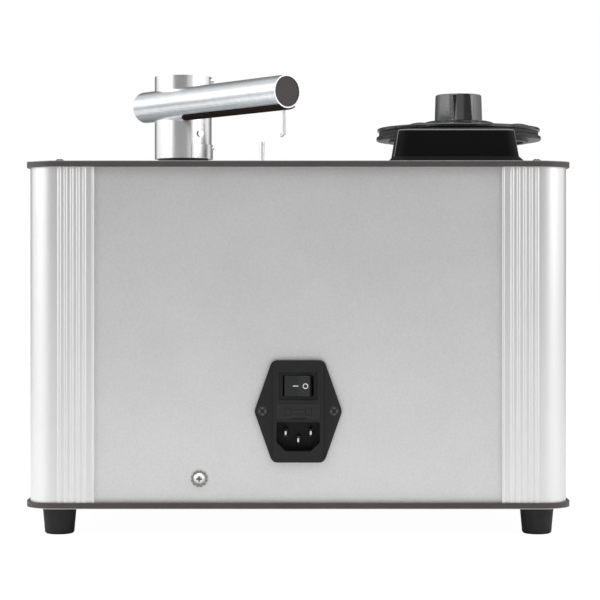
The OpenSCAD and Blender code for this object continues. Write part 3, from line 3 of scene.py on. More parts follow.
import bpy
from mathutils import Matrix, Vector


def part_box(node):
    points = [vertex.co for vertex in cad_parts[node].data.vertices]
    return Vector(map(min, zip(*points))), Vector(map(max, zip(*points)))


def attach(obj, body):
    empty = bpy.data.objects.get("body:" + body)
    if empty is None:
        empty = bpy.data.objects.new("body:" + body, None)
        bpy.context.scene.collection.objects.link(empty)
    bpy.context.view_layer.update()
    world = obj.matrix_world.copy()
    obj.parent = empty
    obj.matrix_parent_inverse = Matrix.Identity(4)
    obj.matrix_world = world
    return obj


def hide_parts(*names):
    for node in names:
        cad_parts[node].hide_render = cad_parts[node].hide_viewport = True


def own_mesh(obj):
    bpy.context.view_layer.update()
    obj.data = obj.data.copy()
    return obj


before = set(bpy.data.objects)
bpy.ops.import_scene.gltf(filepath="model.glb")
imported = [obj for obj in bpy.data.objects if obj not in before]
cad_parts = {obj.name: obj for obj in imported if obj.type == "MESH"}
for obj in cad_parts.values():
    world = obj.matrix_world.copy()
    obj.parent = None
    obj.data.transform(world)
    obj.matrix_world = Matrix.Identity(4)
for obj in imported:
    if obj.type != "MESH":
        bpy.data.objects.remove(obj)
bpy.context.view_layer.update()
bpy.ops.object.select_all(action="DESELECT")

# ---- Camera and studio ----
# The machine is photographed square on from behind, a little below the top of its case, in a white
# room. A large soft lamp hangs above it. A paler lamp and a strip stand on each side. Shiny pieces
# see greyer walls behind the camera and behind the machine.

camera_data = bpy.data.cameras.new("rear_view")
camera_data.lens = 118.6
camera_data.sensor_width = 36
camera_data.shift_x = 0.003
camera_data.shift_y = -0.0367
camera_data.clip_start = 0.05
camera_data.clip_end = 60
camera = bpy.data.objects.new("rear_view", camera_data)
camera.location = (0, -1.212, 0.1442)
camera.rotation_euler = (math.radians(90), 0, 0)
bpy.context.scene.collection.objects.link(camera)
bpy.context.scene.camera = camera
bpy.context.scene.view_settings.view_transform = "Standard"


class Amount:
    """A value that changes over a surface. Sums on it add Math nodes to its finish."""

    def __init__(self, finish, socket):
        self.finish = finish
        self.socket = socket

    def __add__(self, other):
        return self.finish.maths("ADD", self, other)

    def __sub__(self, other):
        return self.finish.maths("SUBTRACT", self, other)

    def __rsub__(self, other):
        return self.finish.maths("SUBTRACT", other, self)

    def __mul__(self, other):
        return self.finish.maths("MULTIPLY", self, other)

    def __pow__(self, other):
        return self.finish.maths("POWER", self, other)

    def __abs__(self):
        return self.finish.maths("ABSOLUTE", self)

    __radd__ = __add__
    __rmul__ = __mul__


class Finish:
    """The nodes of one material, or of the room's light when it is given the world's tree."""

    def __init__(self, name, tree=None):
        if tree is None:
            self.material = bpy.data.materials.new(name)
            self.material.use_nodes = True
            tree = self.material.node_tree
            self.shader = tree.nodes["Principled BSDF"]
        self.tree = tree

    def add(self, kind, settings, sockets, out=0):
        """One node: its settings first, then a value or a link for each of its sockets."""
        node = self.tree.nodes.new(kind)
        for name, value in settings.items():
            setattr(node, name, value)
        for name, value in sockets.items():
            self.join(value, node.inputs[name])
        return Amount(self, node.outputs[out])

    def join(self, value, socket):
        """Links an amount to a socket, or sets the socket where the value is the same all over."""
        if isinstance(value, Amount):
            self.tree.links.new(value.socket, socket)
        else:
            socket.default_value = value

    def place(self):
        """The place on the piece, in metres."""
        return self.add("ShaderNodeTexCoord", {}, {}, "Object")

    def axis(self, letter):
        """The place along one axis, in metres."""
        return self.add("ShaderNodeSeparateXYZ", {}, {0: self.place()}, letter)

    def facing(self, letter):
        """How far the surface faces along one axis, from -1 to 1."""
        turned = self.add("ShaderNodeNewGeometry", {}, {}, "Normal")
        return self.add("ShaderNodeSeparateXYZ", {}, {0: turned}, letter)

    def noise(self, spot, detail):
        """Noise in blotches of about 1, at the places that spot gives."""
        return self.add(
            "ShaderNodeTexNoise", {}, {"Vector": spot, "Scale": 1.0, "Detail": detail}
        )

    def grain(self, size, stretch=(1, 1, 1), detail=2.0):
        """Noise in blotches of about size metres, drawn out along each axis by stretch."""
        scale = [1 / (size * s) for s in stretch]
        spot = self.add("ShaderNodeMapping", {}, {"Vector": self.place(), "Scale": scale})
        return self.noise(spot, detail)

    def maths(self, operation, first, second=0.0):
        """One Math node, on amounts or plain numbers."""
        return self.add("ShaderNodeMath", {"operation": operation}, {0: first, 1: second})

    def ramp(self, amount, low, high):
        """0 below low and 1 above high, and smooth between."""
        return self.add(
            "ShaderNodeMapRange",
            {"interpolation_type": "SMOOTHSTEP"},
            {"Value": amount, "From Min": low, "From Max": high},
        )

    def band(self, amount, rise, fall):
        """1 between two smooth edges, each given as where it starts and ends."""
        return self.ramp(amount, *rise) * (1 - self.ramp(amount, *fall))

    def mix(self, amount, first, second):
        """The first colour where amount is 0 and the second where it is 1."""
        return self.add(
            "ShaderNodeMix", {"data_type": "RGBA"}, {0: amount, 6: first, 7: second}, 2
        )

    def bump(self, height, depth, edge=None):
        """A normal that follows height, where 1 stands depth metres proud.

        Where edge is given, sharp corners look rounded over that many metres."""
        sockets = {"Height": height, "Distance": depth}
        if edge:
            sockets["Normal"] = self.add("ShaderNodeBevel", {"samples": 6}, {"Radius": edge})
        return self.add("ShaderNodeBump", {}, sockets)

    def surface(self, **sockets):
        """Sets the shader's sockets: base_color=..., roughness=... and so on."""
        names = {i.name.lower().replace(" ", "_"): i for i in self.shader.inputs}
        for name, value in sockets.items():
            self.join(value, names[name])

    def coat(self, *pieces):
        """Puts the finish on pieces, given as objects or by a node's name."""
        for piece in pieces:
            piece = bpy.data.objects[piece] if isinstance(piece, str) else piece
            if not piece.material_slots:
                piece.data.materials.append(self.material)
            for slot in piece.material_slots:
                slot.material = self.material


def grey(level):
    """A grey in the shader's values, from 0 to 1."""
    return (level, level, level, 1)


def shade(red, green, blue):
    """A colour as a screen shows it, each part from 0 to 255, in the shader's values."""
    return tuple(((c / 255 + 0.055) / 1.055) ** 2.4 for c in (red, green, blue)) + (1,)


WHITE = grey(1)
world = bpy.data.worlds.new("white_room")
bpy.context.scene.world = world
world.use_nodes = True
room = Finish("white_room", world.node_tree)
direction = room.add("ShaderNodeTexCoord", {}, {}, "Generated")
across, toward, upward = (
    room.add("ShaderNodeSeparateXYZ", {}, {0: direction}, letter) for letter in "XYZ"
)
rear_wall = 1 - room.ramp(toward, -0.8, -0.4)
rear_wall = rear_wall * room.band(upward, (-0.35, 0.1), (0.55, 0.85))
dark_flag = room.band(across, (-0.6, -0.5), (0.3, 0.4)) * (1 - room.ramp(toward, -0.6, -0.4))
dark_flag = dark_flag * room.band(upward, (0.0, 0.1), (0.4, 0.6))
far_wall = room.ramp(toward, 0.55, 0.78) * room.ramp(upward, -0.12, -0.02)
mirrored = room.mix(rear_wall, WHITE, grey(0.67))
mirrored = room.mix(dark_flag, mirrored, grey(0.14))
mirrored = room.mix(far_wall, mirrored, grey(0.2))
straight = room.add("ShaderNodeLightPath", {}, {}, "Is Camera Ray")
glossy = room.add("ShaderNodeLightPath", {}, {}, "Is Glossy Ray")
through = room.add("ShaderNodeLightPath", {}, {}, "Is Transmission Ray")
sky = room.mix(glossy, grey(0.62), mirrored)
sky = room.mix(room.maths("MAXIMUM", straight, through), sky, WHITE)
backdrop = world.node_tree.nodes["Background"]
room.join(sky, backdrop.inputs["Color"])
backdrop.inputs["Strength"].default_value = 1.0

LAMP_AIM = Vector((0, 0, 0.12))
for name, place, size, watts in (
    ("lamp_above", (-0.1, -0.35, 1.35), (1.4, 1.4), 11.0),
    ("lamp_left", (-1.25, -0.75, 0.75), (0.9, 0.9), 3.2),
    ("lamp_right", (1.25, -0.75, 0.7), (0.9, 0.9), 3.6),
    ("strip_left", (-1.6, 0.0, 0.85), (0.9, 0.7), 7.0),
    ("strip_right", (1.6, 0.1, 0.85), (0.4, 0.7), 2.5),
):
    lamp_data = bpy.data.lights.new(name, "AREA")
    lamp_data.energy = watts
    lamp_data.shape = "RECTANGLE"
    lamp_data.size, lamp_data.size_y = size
    lamp = bpy.data.objects.new(name, lamp_data)
    lamp.location = place
    lamp.rotation_euler = (LAMP_AIM - Vector(place)).to_track_quat("-Z", "Y").to_euler()
    bpy.context.scene.collection.objects.link(lamp)

FLOOR_GLOW = 1.06
GLOW_SHARE = 0.92
bpy.ops.mesh.primitive_plane_add(size=16, location=(0, 3, 0))
floor = bpy.context.object
floor.name = "studio_floor"
paper = Finish("white_paper")
paper.surface(base_color=grey(0.9), roughness=0.9, specular_ior_level=0.0)
glow = paper.add("ShaderNodeEmission", {}, {"Color": WHITE, "Strength": FLOOR_GLOW})
seen = paper.add("ShaderNodeLightPath", {}, {}, "Is Camera Ray")
lit = Amount(paper, paper.shader.outputs[0])
shown = paper.add("ShaderNodeMixShader", {}, {0: seen * GLOW_SHARE, 1: lit, 2: glow})
paper.join(shown, paper.tree.nodes["Material Output"].inputs["Surface"])
paper.coat(floor)

# ---- Top and bottom plates ----
# Two flat plates with round corners close the case. They are cut from composite sheet, brown-black
# plastic with a thin aluminium skin on its outer face. Screws hold them to the posts' ends.

SKIN = 0.0003
SKIN_BLEND = 0.00004
for plate, skin_up in (("bottom_plate", -1), ("top_plate", 1)):
    low, high = (corner[2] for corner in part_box(plate))
    skin_start = (high - low) / 2 - SKIN
    composite = Finish(plate + "_composite")
    from_middle = (composite.axis("Z") - (low + high) / 2) * skin_up
    core = 1 - composite.ramp(from_middle, skin_start - SKIN_BLEND, skin_start)
    tooth = composite.grain(0.0006, detail=3.0)
    cloud = composite.grain(0.02)
    brushing = composite.grain(0.00035, (120, 1, 1))
    skin_colour = composite.mix(
        brushing * 0.7 + cloud * 0.3, shade(176, 176, 176), shade(208, 208, 208)
    )
    core_colour = composite.mix(tooth * 0.6 + cloud * 0.4, shade(44, 40, 38), shade(76, 71, 68))
    composite.surface(
        base_color=composite.mix(core, skin_colour, core_colour),
        metallic=1 - core,
        roughness=0.3 + core * 0.14 + tooth * 0.14,
        normal=composite.bump(tooth * core + brushing * 0.15, 0.00005),
    )
    composite.coat(plate)

# ---- Corner posts ----
# Each corner is one aluminium extrusion with a round outer corner, five ribs beside each panel and
# a bead along its edge. It is satin anodised, and fine die lines run up it.

post_metal = Finish("anodised_extrusion")
die_lines = post_metal.grain(0.00035, (1, 1, 400), detail=1.0)
bloom = post_metal.grain(0.03, (1, 1, 3))
frosting = post_metal.grain(0.00025)
post_metal.surface(
    base_color=post_metal.mix(bloom, shade(222, 222, 223), shade(234, 234, 234)),
    metallic=1.0,
    roughness=0.3 + die_lines * 0.08 + frosting * 0.06,
    normal=post_metal.bump(die_lines * 0.7 + frosting * 0.3, 0.000012),
)
post_metal.coat("post_rear_left", "post_rear_right", "post_front_left", "post_front_right")

# ---- Panels ----
# Four flat sheets stand in the slots of the posts. They are aluminium with a fine-grained silver
# surface that dulls the light more than the posts do. Painted light makes them a little paler
# towards the foot.

PANEL_PAINTED_LIGHT_END = 0.23
PANEL_PAINTED_LIGHT_FULL = -0.04
sheet_metal = Finish("grained_sheet")
flake = sheet_metal.grain(0.0007, detail=3.0)
patch = sheet_metal.grain(0.045)
# Painted light: the sheet's colour grows paler towards the foot.
painted_light_below = 1 - sheet_metal.ramp(sheet_metal.axis("Z"), PANEL_PAINTED_LIGHT_FULL, PANEL_PAINTED_LIGHT_END)
grain_and_painted_light = flake * 0.5 + patch * 0.2 + painted_light_below * 0.45
sheet_metal.surface(
    base_color=sheet_metal.mix(grain_and_painted_light, shade(182, 182, 182), shade(232, 232, 232)),
    metallic=1.0,
    roughness=0.46 + flake * 0.12,
    normal=sheet_metal.bump(flake, 0.00003),
)
sheet_metal.coat("rear_panel", "front_panel", "left_panel", "right_panel")

# ---- Hidden screws and nuts ----
# Screws come up through the feet into the posts, and from inside the case into the column's base
# and the cowl and through the bearing's housing. Others go down into the motor. They, and the nuts
# of the inlet, the earth screw and the switches, are zinc-plated steel.

zinc = Finish("zinc_plate")
plating = zinc.grain(0.0004)
zinc.surface(
    base_color=zinc.mix(plating, shade(196, 196, 192), shade(232, 232, 230)),
    metallic=1.0,
    roughness=0.24 + plating * 0.14,
    normal=zinc.bump(plating, 0.00001),
)
zinc.coat("foot_screws", "flange_screws", "motor_screws", "panel_nuts", "switch_nuts")

# ---- Deck screws ----
# Four dome-headed screws go down through the top plate into the ends of the posts. They are dark
# polished steel.

domed_steel = Finish("domed_steel")
dome_rub = domed_steel.grain(0.0005)
domed_steel.surface(
    base_color=domed_steel.mix(dome_rub, shade(60, 60, 61), shade(92, 92, 93)),
    metallic=1.0,
    roughness=0.08 + dome_rub * 0.06,
)
domed_steel.coat("deck_screws")

# ---- Feet ----
# Four tapered rubber feet, moulded in dark grey, stand under the corners. A screw inside each
# holds it and the bottom plate to a post.

foot_rubber = Finish("foot_rubber")
stipple = foot_rubber.grain(0.0005, detail=3.0)
dusting = foot_rubber.grain(0.006)
foot_rubber.surface(
    base_color=foot_rubber.mix(
        stipple * 0.5 + dusting * 0.5, shade(30, 30, 31), shade(50, 50, 51)
    ),
    roughness=0.5 + stipple * 0.15,
    normal=foot_rubber.bump(stipple, 0.00004),
    specular_ior_level=0.2,
)
foot_rubber.coat("rubber_feet")

# ---- Mains inlet ----
# One black moulding holds the switch, the fuse drawer and the socket. It passes through the rear
# panel, and two screws hold its flange.

inlet_plastic = Finish("inlet_plastic")
spark = inlet_plastic.grain(0.0003, detail=3.0)
flow = inlet_plastic.grain(0.008)
inlet_plastic.surface(
    base_color=inlet_plastic.mix(spark * 0.5 + flow * 0.5, shade(20, 20, 21), shade(34, 34, 35)),
    roughness=0.32 + spark * 0.12,
    normal=inlet_plastic.bump(spark, 0.00002, edge=0.0003),
    specular_ior_level=0.25,
)
inlet_plastic.coat("inlet_housing")

# ---- Fuse drawer ----
# The drawer slides out of the inlet between the switch and the socket. It is black plastic, and
# the sign of a fuse, a barrel between two caps, stands on its face as a thin moulded line.

SIGN_LINE = 0.00022
CAP_PLACE = 0.0058
CAP_HALF = (0.0016, 0.00195)
BARREL_HALF = (0.0042, 0.0012)
BARREL_END = (0.0041, 0.0043)


def block_edge(finish, across, upright, half):
    """1 on a thin line round a block, given the distances from its middle and its half size."""
    reach = finish.maths("MAXIMUM", across - half[0], upright - half[1])
    return 1 - finish.ramp(abs(reach), SIGN_LINE / 2, SIGN_LINE)


drawer_low, drawer_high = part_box("fuse_drawer")
drawer_plastic = Finish("drawer_plastic")
drawer_spark = drawer_plastic.grain(0.0003, detail=3.0)
sign_x = abs(drawer_plastic.axis("X"))
sign_z = abs(drawer_plastic.axis("Z") - (drawer_low[2] + drawer_high[2]) / 2)
cap_line = block_edge(drawer_plastic, abs(sign_x - CAP_PLACE), sign_z, CAP_HALF)
barrel_line = block_edge(drawer_plastic, sign_x, sign_z, BARREL_HALF)
barrel_line = barrel_line * (1 - drawer_plastic.ramp(sign_x, *BARREL_END))
fuse_sign = drawer_plastic.maths("MAXIMUM", cap_line, barrel_line)
drawer_colour = drawer_plastic.mix(drawer_spark, shade(26, 26, 27), shade(38, 38, 39))
drawer_plastic.surface(
    base_color=drawer_plastic.mix(fuse_sign * 0.9, drawer_colour, shade(4, 4, 5)),
    roughness=0.38 + drawer_spark * 0.12,
    normal=drawer_plastic.bump(fuse_sign + drawer_spark * 0.06, 0.0003, edge=0.0002),
    specular_ior_level=0.3,
)
drawer_plastic.coat("fuse_drawer")

# ---- Switch rocker ----
# The rocker turns on two stub pivots in the inlet. It is moulded in charcoal plastic, with a bar
# for on and a ring for off printed in white on its outer face.

BAR_PLACE = -0.00145
BAR_HALF = (0.0015, 0.00022)
RING_PLACE = 0.00405
RING_RADIUS = 0.0013
RING_HALF_LINE = 0.0002
PRINT_BLEND = 0.00004
FACE_DEPTH = (0.003, 0.0031)

rocker_low, rocker_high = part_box("inlet_rocker")
rocker_plastic = Finish("rocker_plastic")
haze = rocker_plastic.grain(0.0004)
mark_x = rocker_plastic.axis("X")
mark_z = rocker_plastic.axis("Z") - (rocker_low[2] + rocker_high[2]) / 2
bar_mark = rocker_plastic.maths(
    "MAXIMUM", abs(mark_x - BAR_PLACE) - BAR_HALF[0], abs(mark_z) - BAR_HALF[1]
)
ring_x = mark_x - RING_PLACE
ring_mark = (ring_x * ring_x + mark_z * mark_z) ** 0.5
ring_mark = abs(ring_mark - RING_RADIUS) - RING_HALF_LINE
mark_reach = rocker_plastic.maths("MINIMUM", bar_mark, ring_mark)
printed = 1 - rocker_plastic.ramp(mark_reach, -PRINT_BLEND, PRINT_BLEND)
face_start, face_end = (rocker_low[1] + depth for depth in FACE_DEPTH)
printed = printed * (1 - rocker_plastic.ramp(rocker_plastic.axis("Y"), face_start, face_end))
rocker_colour = rocker_plastic.mix(haze, shade(12, 13, 13), shade(20, 22, 22))
rocker_plastic.surface(
    base_color=rocker_plastic.mix(printed, rocker_colour, shade(226, 228, 228)),
    roughness=0.24 + haze * 0.1 + printed * 0.2,
    normal=rocker_plastic.bump(haze, 0.00001, edge=0.0005),
    specular_ior_level=0.45,
)
rocker_plastic.coat("inlet_rocker")

# ---- Fuse ----
# A small glass fuse with metal caps lies across the drawer behind its face, in a cradle that is
# open at the top.

CAP_START = (0.0048, 0.0052)
fuse_glass = Finish("fuse_body")
cap = fuse_glass.ramp(abs(fuse_glass.axis("X")), *CAP_START)
smear = fuse_glass.grain(0.002)
fuse_glass.surface(
    base_color=fuse_glass.mix(cap, shade(205, 212, 210), shade(200, 198, 190)),
    metallic=cap,
    roughness=0.12 + smear * 0.12,
)
fuse_glass.coat("mains_fuse")

# ---- Inlet pins ----
# Three flat pins stand in the socket and go on as tabs behind it, for the leads. They are plated
# brass, pressed into the moulding.

pin_plate = Finish("pin_plate")
rubbed = pin_plate.grain(0.0006, (1, 6, 1))
pin_plate.surface(
    base_color=pin_plate.mix(rubbed, shade(206, 204, 196), shade(240, 239, 234)),
    metallic=1.0,
    roughness=0.18 + rubbed * 0.16,
)
pin_plate.coat("inlet_pins")

# ---- Inlet screws ----
# Two blackened steel screws pass through the inlet's flange and the panel into nuts. Their domed
# heads are grey in the middle and black round the rim, and the cross recess in each stays black.

SCREW_PLACE = 0.02
WORN_RADIUS = (0.0021, 0.0024)
CROSS_HALF = (0.0004, 0.0006)
inlet_low, inlet_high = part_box("inlet_housing")
black_screw = Finish("blackened_steel")
oxide = black_screw.grain(0.0004)
screw_z = abs(black_screw.axis("Z") - (inlet_low[2] + inlet_high[2]) / 2)
screw_x = abs(abs(black_screw.axis("X")) - SCREW_PLACE)
grey_middle = 1 - black_screw.ramp((screw_x * screw_x + screw_z * screw_z) ** 0.5, *WORN_RADIUS)
cross = black_screw.maths("MINIMUM", abs(screw_x - screw_z), screw_x + screw_z)
grey_middle = grey_middle * black_screw.ramp(cross, *CROSS_HALF)
black_screw.surface(
    base_color=black_screw.mix(grey_middle * (oxide * 0.6 + 0.4), shade(6, 6, 7), shade(84, 84, 85)),
    metallic=0.3,
    roughness=0.34 + oxide * 0.16,
    normal=black_screw.bump(oxide, 0.00001),
)
black_screw.coat("inlet_screws")

# ---- Earth screw ----
# A bright zinc-plated pan-head screw joins the earth lead to the rear panel. The cross recess in
# its head is painted dark, as painted shade.

RECESS_HALF = (0.00035, 0.0005)
RECESS_REACH = (0.0014, 0.0016)
earth_low, earth_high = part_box("earth_screw")
bright_zinc = Finish("bright_zinc")
scuff = bright_zinc.grain(0.0005)
earth_x = abs(bright_zinc.axis("X") - (earth_low[0] + earth_high[0]) / 2)
earth_z = abs(bright_zinc.axis("Z") - (earth_low[2] + earth_high[2]) / 2)
# Painted shade: the cross recess in the head is darkened.
recess_shade = 1 - bright_zinc.ramp(bright_zinc.maths("MINIMUM", earth_x, earth_z), *RECESS_HALF)
recess_end = bright_zinc.ramp(bright_zinc.maths("MAXIMUM", earth_x, earth_z), *RECESS_REACH)
recess_shade = recess_shade * (1 - recess_end)
head_colour = bright_zinc.mix(scuff, shade(196, 196, 192), shade(240, 240, 238))
bright_zinc.surface(
    base_color=bright_zinc.mix(recess_shade * 0.85, head_colour, shade(40, 40, 42)),
    metallic=1.0,
    roughness=0.22 + scuff * 0.2,
    normal=bright_zinc.bump(scuff, 0.00002),
)
bright_zinc.coat("earth_screw")

# ---- Earth washer ----
# A toothed washer of spring steel bites into the panel under the earth screw's head, and keeps
# the screw from working loose.

spring_steel = Finish("spring_steel")
temper = spring_steel.grain(0.0004)
spring_steel.surface(
    base_color=spring_steel.mix(temper, shade(84, 84, 86), shade(176, 176, 176)),
    metallic=1.0,
    roughness=0.24 + temper * 0.2,
)
spring_steel.coat("earth_washer")

# ---- Column base ----
# A cup moulded in black plastic stands inside the column's foot. Screws from inside the case hold
# it to the top plate, and a window in its wall guides and stops the sleeve.

base_plastic = Finish("base_plastic")
pebble = base_plastic.grain(0.0004)
base_plastic.surface(
    base_color=base_plastic.mix(pebble, shade(22, 22, 23), shade(42, 42, 43)),
    roughness=0.45 + pebble * 0.15,
    normal=base_plastic.bump(pebble, 0.00002),
)
base_plastic.coat("column_base")

# ---- Suction pipe ----
# A grey plastic pipe leads the air and fluid from the column down to the hose. The base's screws
# hold its flange against the top plate from below. Faint lines run along it.

pipe_plastic = Finish("pipe_plastic")
streak = pipe_plastic.grain(0.0008, (1, 1, 40))
pipe_plastic.surface(
    base_color=pipe_plastic.mix(streak, shade(150, 150, 147), shade(178, 178, 174)),
    roughness=0.4 + streak * 0.1,
)
pipe_plastic.coat("suction_pipe")

# ---- Lift spring ----
# A coil of drawn steel wire stands in the base's cup, round the pipe, and carries the sleeve. It
# shortens as the arm goes down.

MERGE_REACH = 0.000002


def copy_of(node, name):
    """A new piece with the merged mesh of a CAD node, at the origin, selected and active."""
    for chosen in bpy.context.selected_objects:
        chosen.select_set(False)
    original = bpy.data.objects[node]
    piece = bpy.data.objects.new(name, original.data.copy())
    bpy.context.scene.collection.objects.link(piece)
    piece.matrix_world = original.matrix_world.copy()
    bpy.context.view_layer.objects.active = piece
    piece.select_set(True)
    bpy.ops.object.transform_apply(location=True, rotation=True, scale=True)
    bpy.ops.mesh.customdata_custom_splitnormals_clear()
    bpy.ops.object.mode_set(mode="EDIT")
    bpy.ops.mesh.select_all(action="SELECT")
    bpy.ops.mesh.remove_doubles(threshold=MERGE_REACH)
    bpy.ops.mesh.normals_make_consistent(inside=False)
    bpy.ops.object.mode_set(mode="OBJECT")
    piece.data.materials.clear()
    return piece


spring_wire = Finish("spring_wire")
drawn = spring_wire.grain(0.0005)
spring_wire.surface(
    base_color=spring_wire.mix(drawn, shade(150, 150, 150), shade(205, 205, 205)),
    metallic=1.0,
    roughness=0.25 + drawn * 0.12,
)
spring = copy_of("lift_spring", "lift_spring_coil")
bpy.ops.object.shade_smooth()
spring.select_set(False)
spring_wire.coat(spring, "lift_spring")
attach(spring, "chassis")
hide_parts("lift_spring")
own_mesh(spring)

# ---- Guide sleeve ----
# A sleeve machined from white plastic slides up and down the pipe on the spring. The column turns
# on it, and a screw in the sleeve's groove keeps it there.

sleeve_plastic = Finish("sleeve_plastic")
turning = sleeve_plastic.grain(0.0006, (8, 8, 0.6))
sleeve_plastic.surface(
    base_color=sleeve_plastic.mix(turning, shade(216, 213, 200), shade(236, 234, 224)),
    roughness=0.38 + turning * 0.1,
    normal=sleeve_plastic.bump(turning, 0.00001),
)
sleeve_plastic.coat("guide_sleeve")

# ---- Column ----
# The column is turned from aluminium bar and satin anodised. A half band stands round its foot,
# and a cap of the same metal closes its top.

turned_metal = Finish("turned_column")
tool_marks = turned_metal.grain(0.00025, (200, 200, 1), detail=1.0)
satin = turned_metal.grain(0.0004)
turned_metal.surface(
    base_color=turned_metal.mix(
        satin * 0.6 + tool_marks * 0.4, shade(226, 226, 227), shade(246, 246, 247)
    ),
    metallic=1.0,
    roughness=0.17 + tool_marks * 0.07 + satin * 0.04,
    normal=turned_metal.bump(tool_marks, 0.000006),
)
turned_metal.coat("arm_column", "column_collar", "column_cap")

# ---- Set screws ----
# Small bright steel screws go into the side of the column. They lock it to the sleeve, and hold
# its cap and the half band.

set_screw = Finish("set_screw_steel")
burnish = set_screw.grain(0.0003)
set_screw.surface(
    base_color=set_screw.mix(burnish, shade(206, 206, 206), shade(240, 240, 240)),
    metallic=1.0,
    roughness=0.2 + burnish * 0.15,
)
set_screw.coat("column_screws")

# ---- Arm tube ----
# The vacuum tube is drawn aluminium, brightened and faintly streaked along its length. It lies
# across the column in a round cut, turned towards the platter.

ARM_TURN = math.radians(51)
SCRATCH = (0.1, 0.0015, 0.0015)
tube_metal = Finish("drawn_tube")
along = tube_metal.add(
    "ShaderNodeMapping",
    {"vector_type": "TEXTURE"},
    {"Vector": tube_metal.place(), "Rotation": (0, 0, -ARM_TURN), "Scale": SCRATCH},
)
scratches = tube_metal.noise(along, 2.0)
film = tube_metal.grain(0.006)
tube_metal.surface(
    base_color=tube_metal.mix(
        film * 0.3 + scratches * 0.7, shade(176, 180, 182), shade(236, 240, 242)
    ),
    metallic=1.0,
    roughness=0.2 + scratches * 0.12,
    normal=tube_metal.bump(scratches, 0.00004),
)
tube_metal.coat("arm_tube")

# ---- Tube stoppers ----
# A stopper moulded in dark grey-brown plastic is pushed into each end of the tube, its face just
# inside the bright rim.

stopper_plastic = Finish("stopper_plastic")
moulding = stopper_plastic.grain(0.0006)
stopper_plastic.surface(
    base_color=stopper_plastic.mix(moulding, shade(62, 56, 57), shade(80, 73, 74)),
    roughness=0.5 + moulding * 0.15,
    normal=stopper_plastic.bump(moulding, 0.00002),
    specular_ior_level=0.2,
)
stopper_plastic.coat("arm_stoppers")

# ---- Velvet strip ----
# A strip of black-brown velvet is stuck along the underside of the tube, with the suction slot
# through it and a short soft pile all over.

VELVET_VOXEL = 0.0003
PILE_CLUMP = 0.0012
PILE_HEIGHT = 0.00016
velvet_strip = copy_of("velvet_strip", "velvet_pile_strip")
clumps = bpy.data.textures.new("pile_clumps", "CLOUDS")
clumps.noise_scale = PILE_CLUMP
for kind, settings in (
    ("REMESH", {"mode": "VOXEL", "voxel_size": VELVET_VOXEL}),
    ("SMOOTH", {"factor": 0.5, "iterations": 2}),
    ("DISPLACE", {"texture": clumps, "strength": PILE_HEIGHT, "mid_level": 0.5}),
):
    step = velvet_strip.modifiers.new(kind.lower(), kind)
    for setting, value in settings.items():
        setattr(step, setting, value)
    bpy.ops.object.modifier_apply(modifier=step.name)
bpy.ops.object.shade_smooth()
velvet_strip.select_set(False)
velvet = Finish("velvet_pile")
pile = velvet.grain(0.0002, detail=4.0)
brushed = velvet.grain(0.004)
velvet.surface(
    base_color=velvet.mix(pile * 0.6 + brushed * 0.4, shade(16, 13, 12), shade(48, 40, 38)),
    roughness=0.95,
    normal=velvet.bump(pile, 0.0002),
    specular_ior_level=0.05,
)
velvet.coat(velvet_strip, "velvet_strip")
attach(velvet_strip, "vacuum_arm")
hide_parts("velvet_strip")

# ---- Hook pin ----
# A pin of thin bright steel wire is pressed up through the tube into the end stopper. It hangs
# below the tube and is bent at its foot.

pin_wire = Finish("bright_wire")
wire_draw = pin_wire.grain(0.0004, (1, 1, 8))
pin_wire.surface(
    base_color=pin_wire.mix(wire_draw, shade(196, 196, 196), shade(228, 228, 228)),
    metallic=1.0,
    roughness=0.3 + wire_draw * 0.1,
)
pin_wire.coat("hook_pin")

# ---- Bearing housing and motor pulley ----
# The platter's bearing sits in a housing that hangs under the top plate. The housing and the small
# pulley on the motor's shaft are turned from aluminium.

housing_metal = Finish("bearing_housing_metal")
lathe = housing_metal.grain(0.0004, (60, 60, 1))
housing_metal.surface(
    base_color=housing_metal.mix(lathe, shade(168, 168, 168), shade(206, 206, 206)),
    metallic=1.0,
    roughness=0.3 + lathe * 0.12,
)
housing_metal.coat("bearing_housing", "motor_pulley")

# ---- Spindle ----
# The spindle is ground from steel bar and runs in the housing. The platter is pressed on it, and
# its round nose centres the record and the clamp.

spindle_steel = Finish("ground_steel")
grinding = spindle_steel.grain(0.0002, (20, 20, 1))
spindle_steel.surface(
    base_color=spindle_steel.mix(grinding, shade(196, 198, 200), shade(226, 227, 228)),
    metallic=1.0,
    roughness=0.12 + grinding * 0.08,
)
spindle_steel.coat("spindle")

# ---- Platter and its pulley ----
# The small platter is turned metal under a satin black coat, with a grooved belt pulley of the
# same finish on its hub.

platter_coat = Finish("platter_coat")
orange_peel = platter_coat.grain(0.0009)
platter_coat.surface(
    base_color=platter_coat.mix(orange_peel, shade(14, 13, 13), shade(26, 24, 24)),
    roughness=0.22 + orange_peel * 0.1,
    normal=platter_coat.bump(orange_peel, 0.00001, edge=0.0003),
    specular_ior_level=0.3,
)
platter_coat.coat("platter", "platter_pulley")

# ---- Platter mat and drain bung ----
# A black rubber mat is stuck on the platter and grips the record's label. The bung that is pushed
# into the tank's drain, low on the case's left side, is the same rubber.

mat_rubber = Finish("mat_rubber")
nap = mat_rubber.grain(0.0006)
mat_rubber.surface(
    base_color=mat_rubber.mix(nap, shade(18, 18, 18), shade(36, 36, 36)),
    roughness=0.7 + nap * 0.15,
    normal=mat_rubber.bump(nap, 0.00004),
)
mat_rubber.coat("platter_mat", "drain_bung")

# ---- Clamp disc ----
# The record clamp is a domed disc moulded in glossy black plastic. It presses the record's label
# down on the mat.

clamp_plastic = Finish("clamp_plastic")
swirl = clamp_plastic.grain(0.0005)
clamp_plastic.surface(
    base_color=clamp_plastic.mix(swirl, shade(12, 11, 11), shade(24, 22, 22)),
    roughness=0.1 + swirl * 0.08,
    normal=clamp_plastic.bump(swirl, 0.00001, edge=0.0004),
    specular_ior_level=0.6,
)
clamp_plastic.coat("clamp_disc")

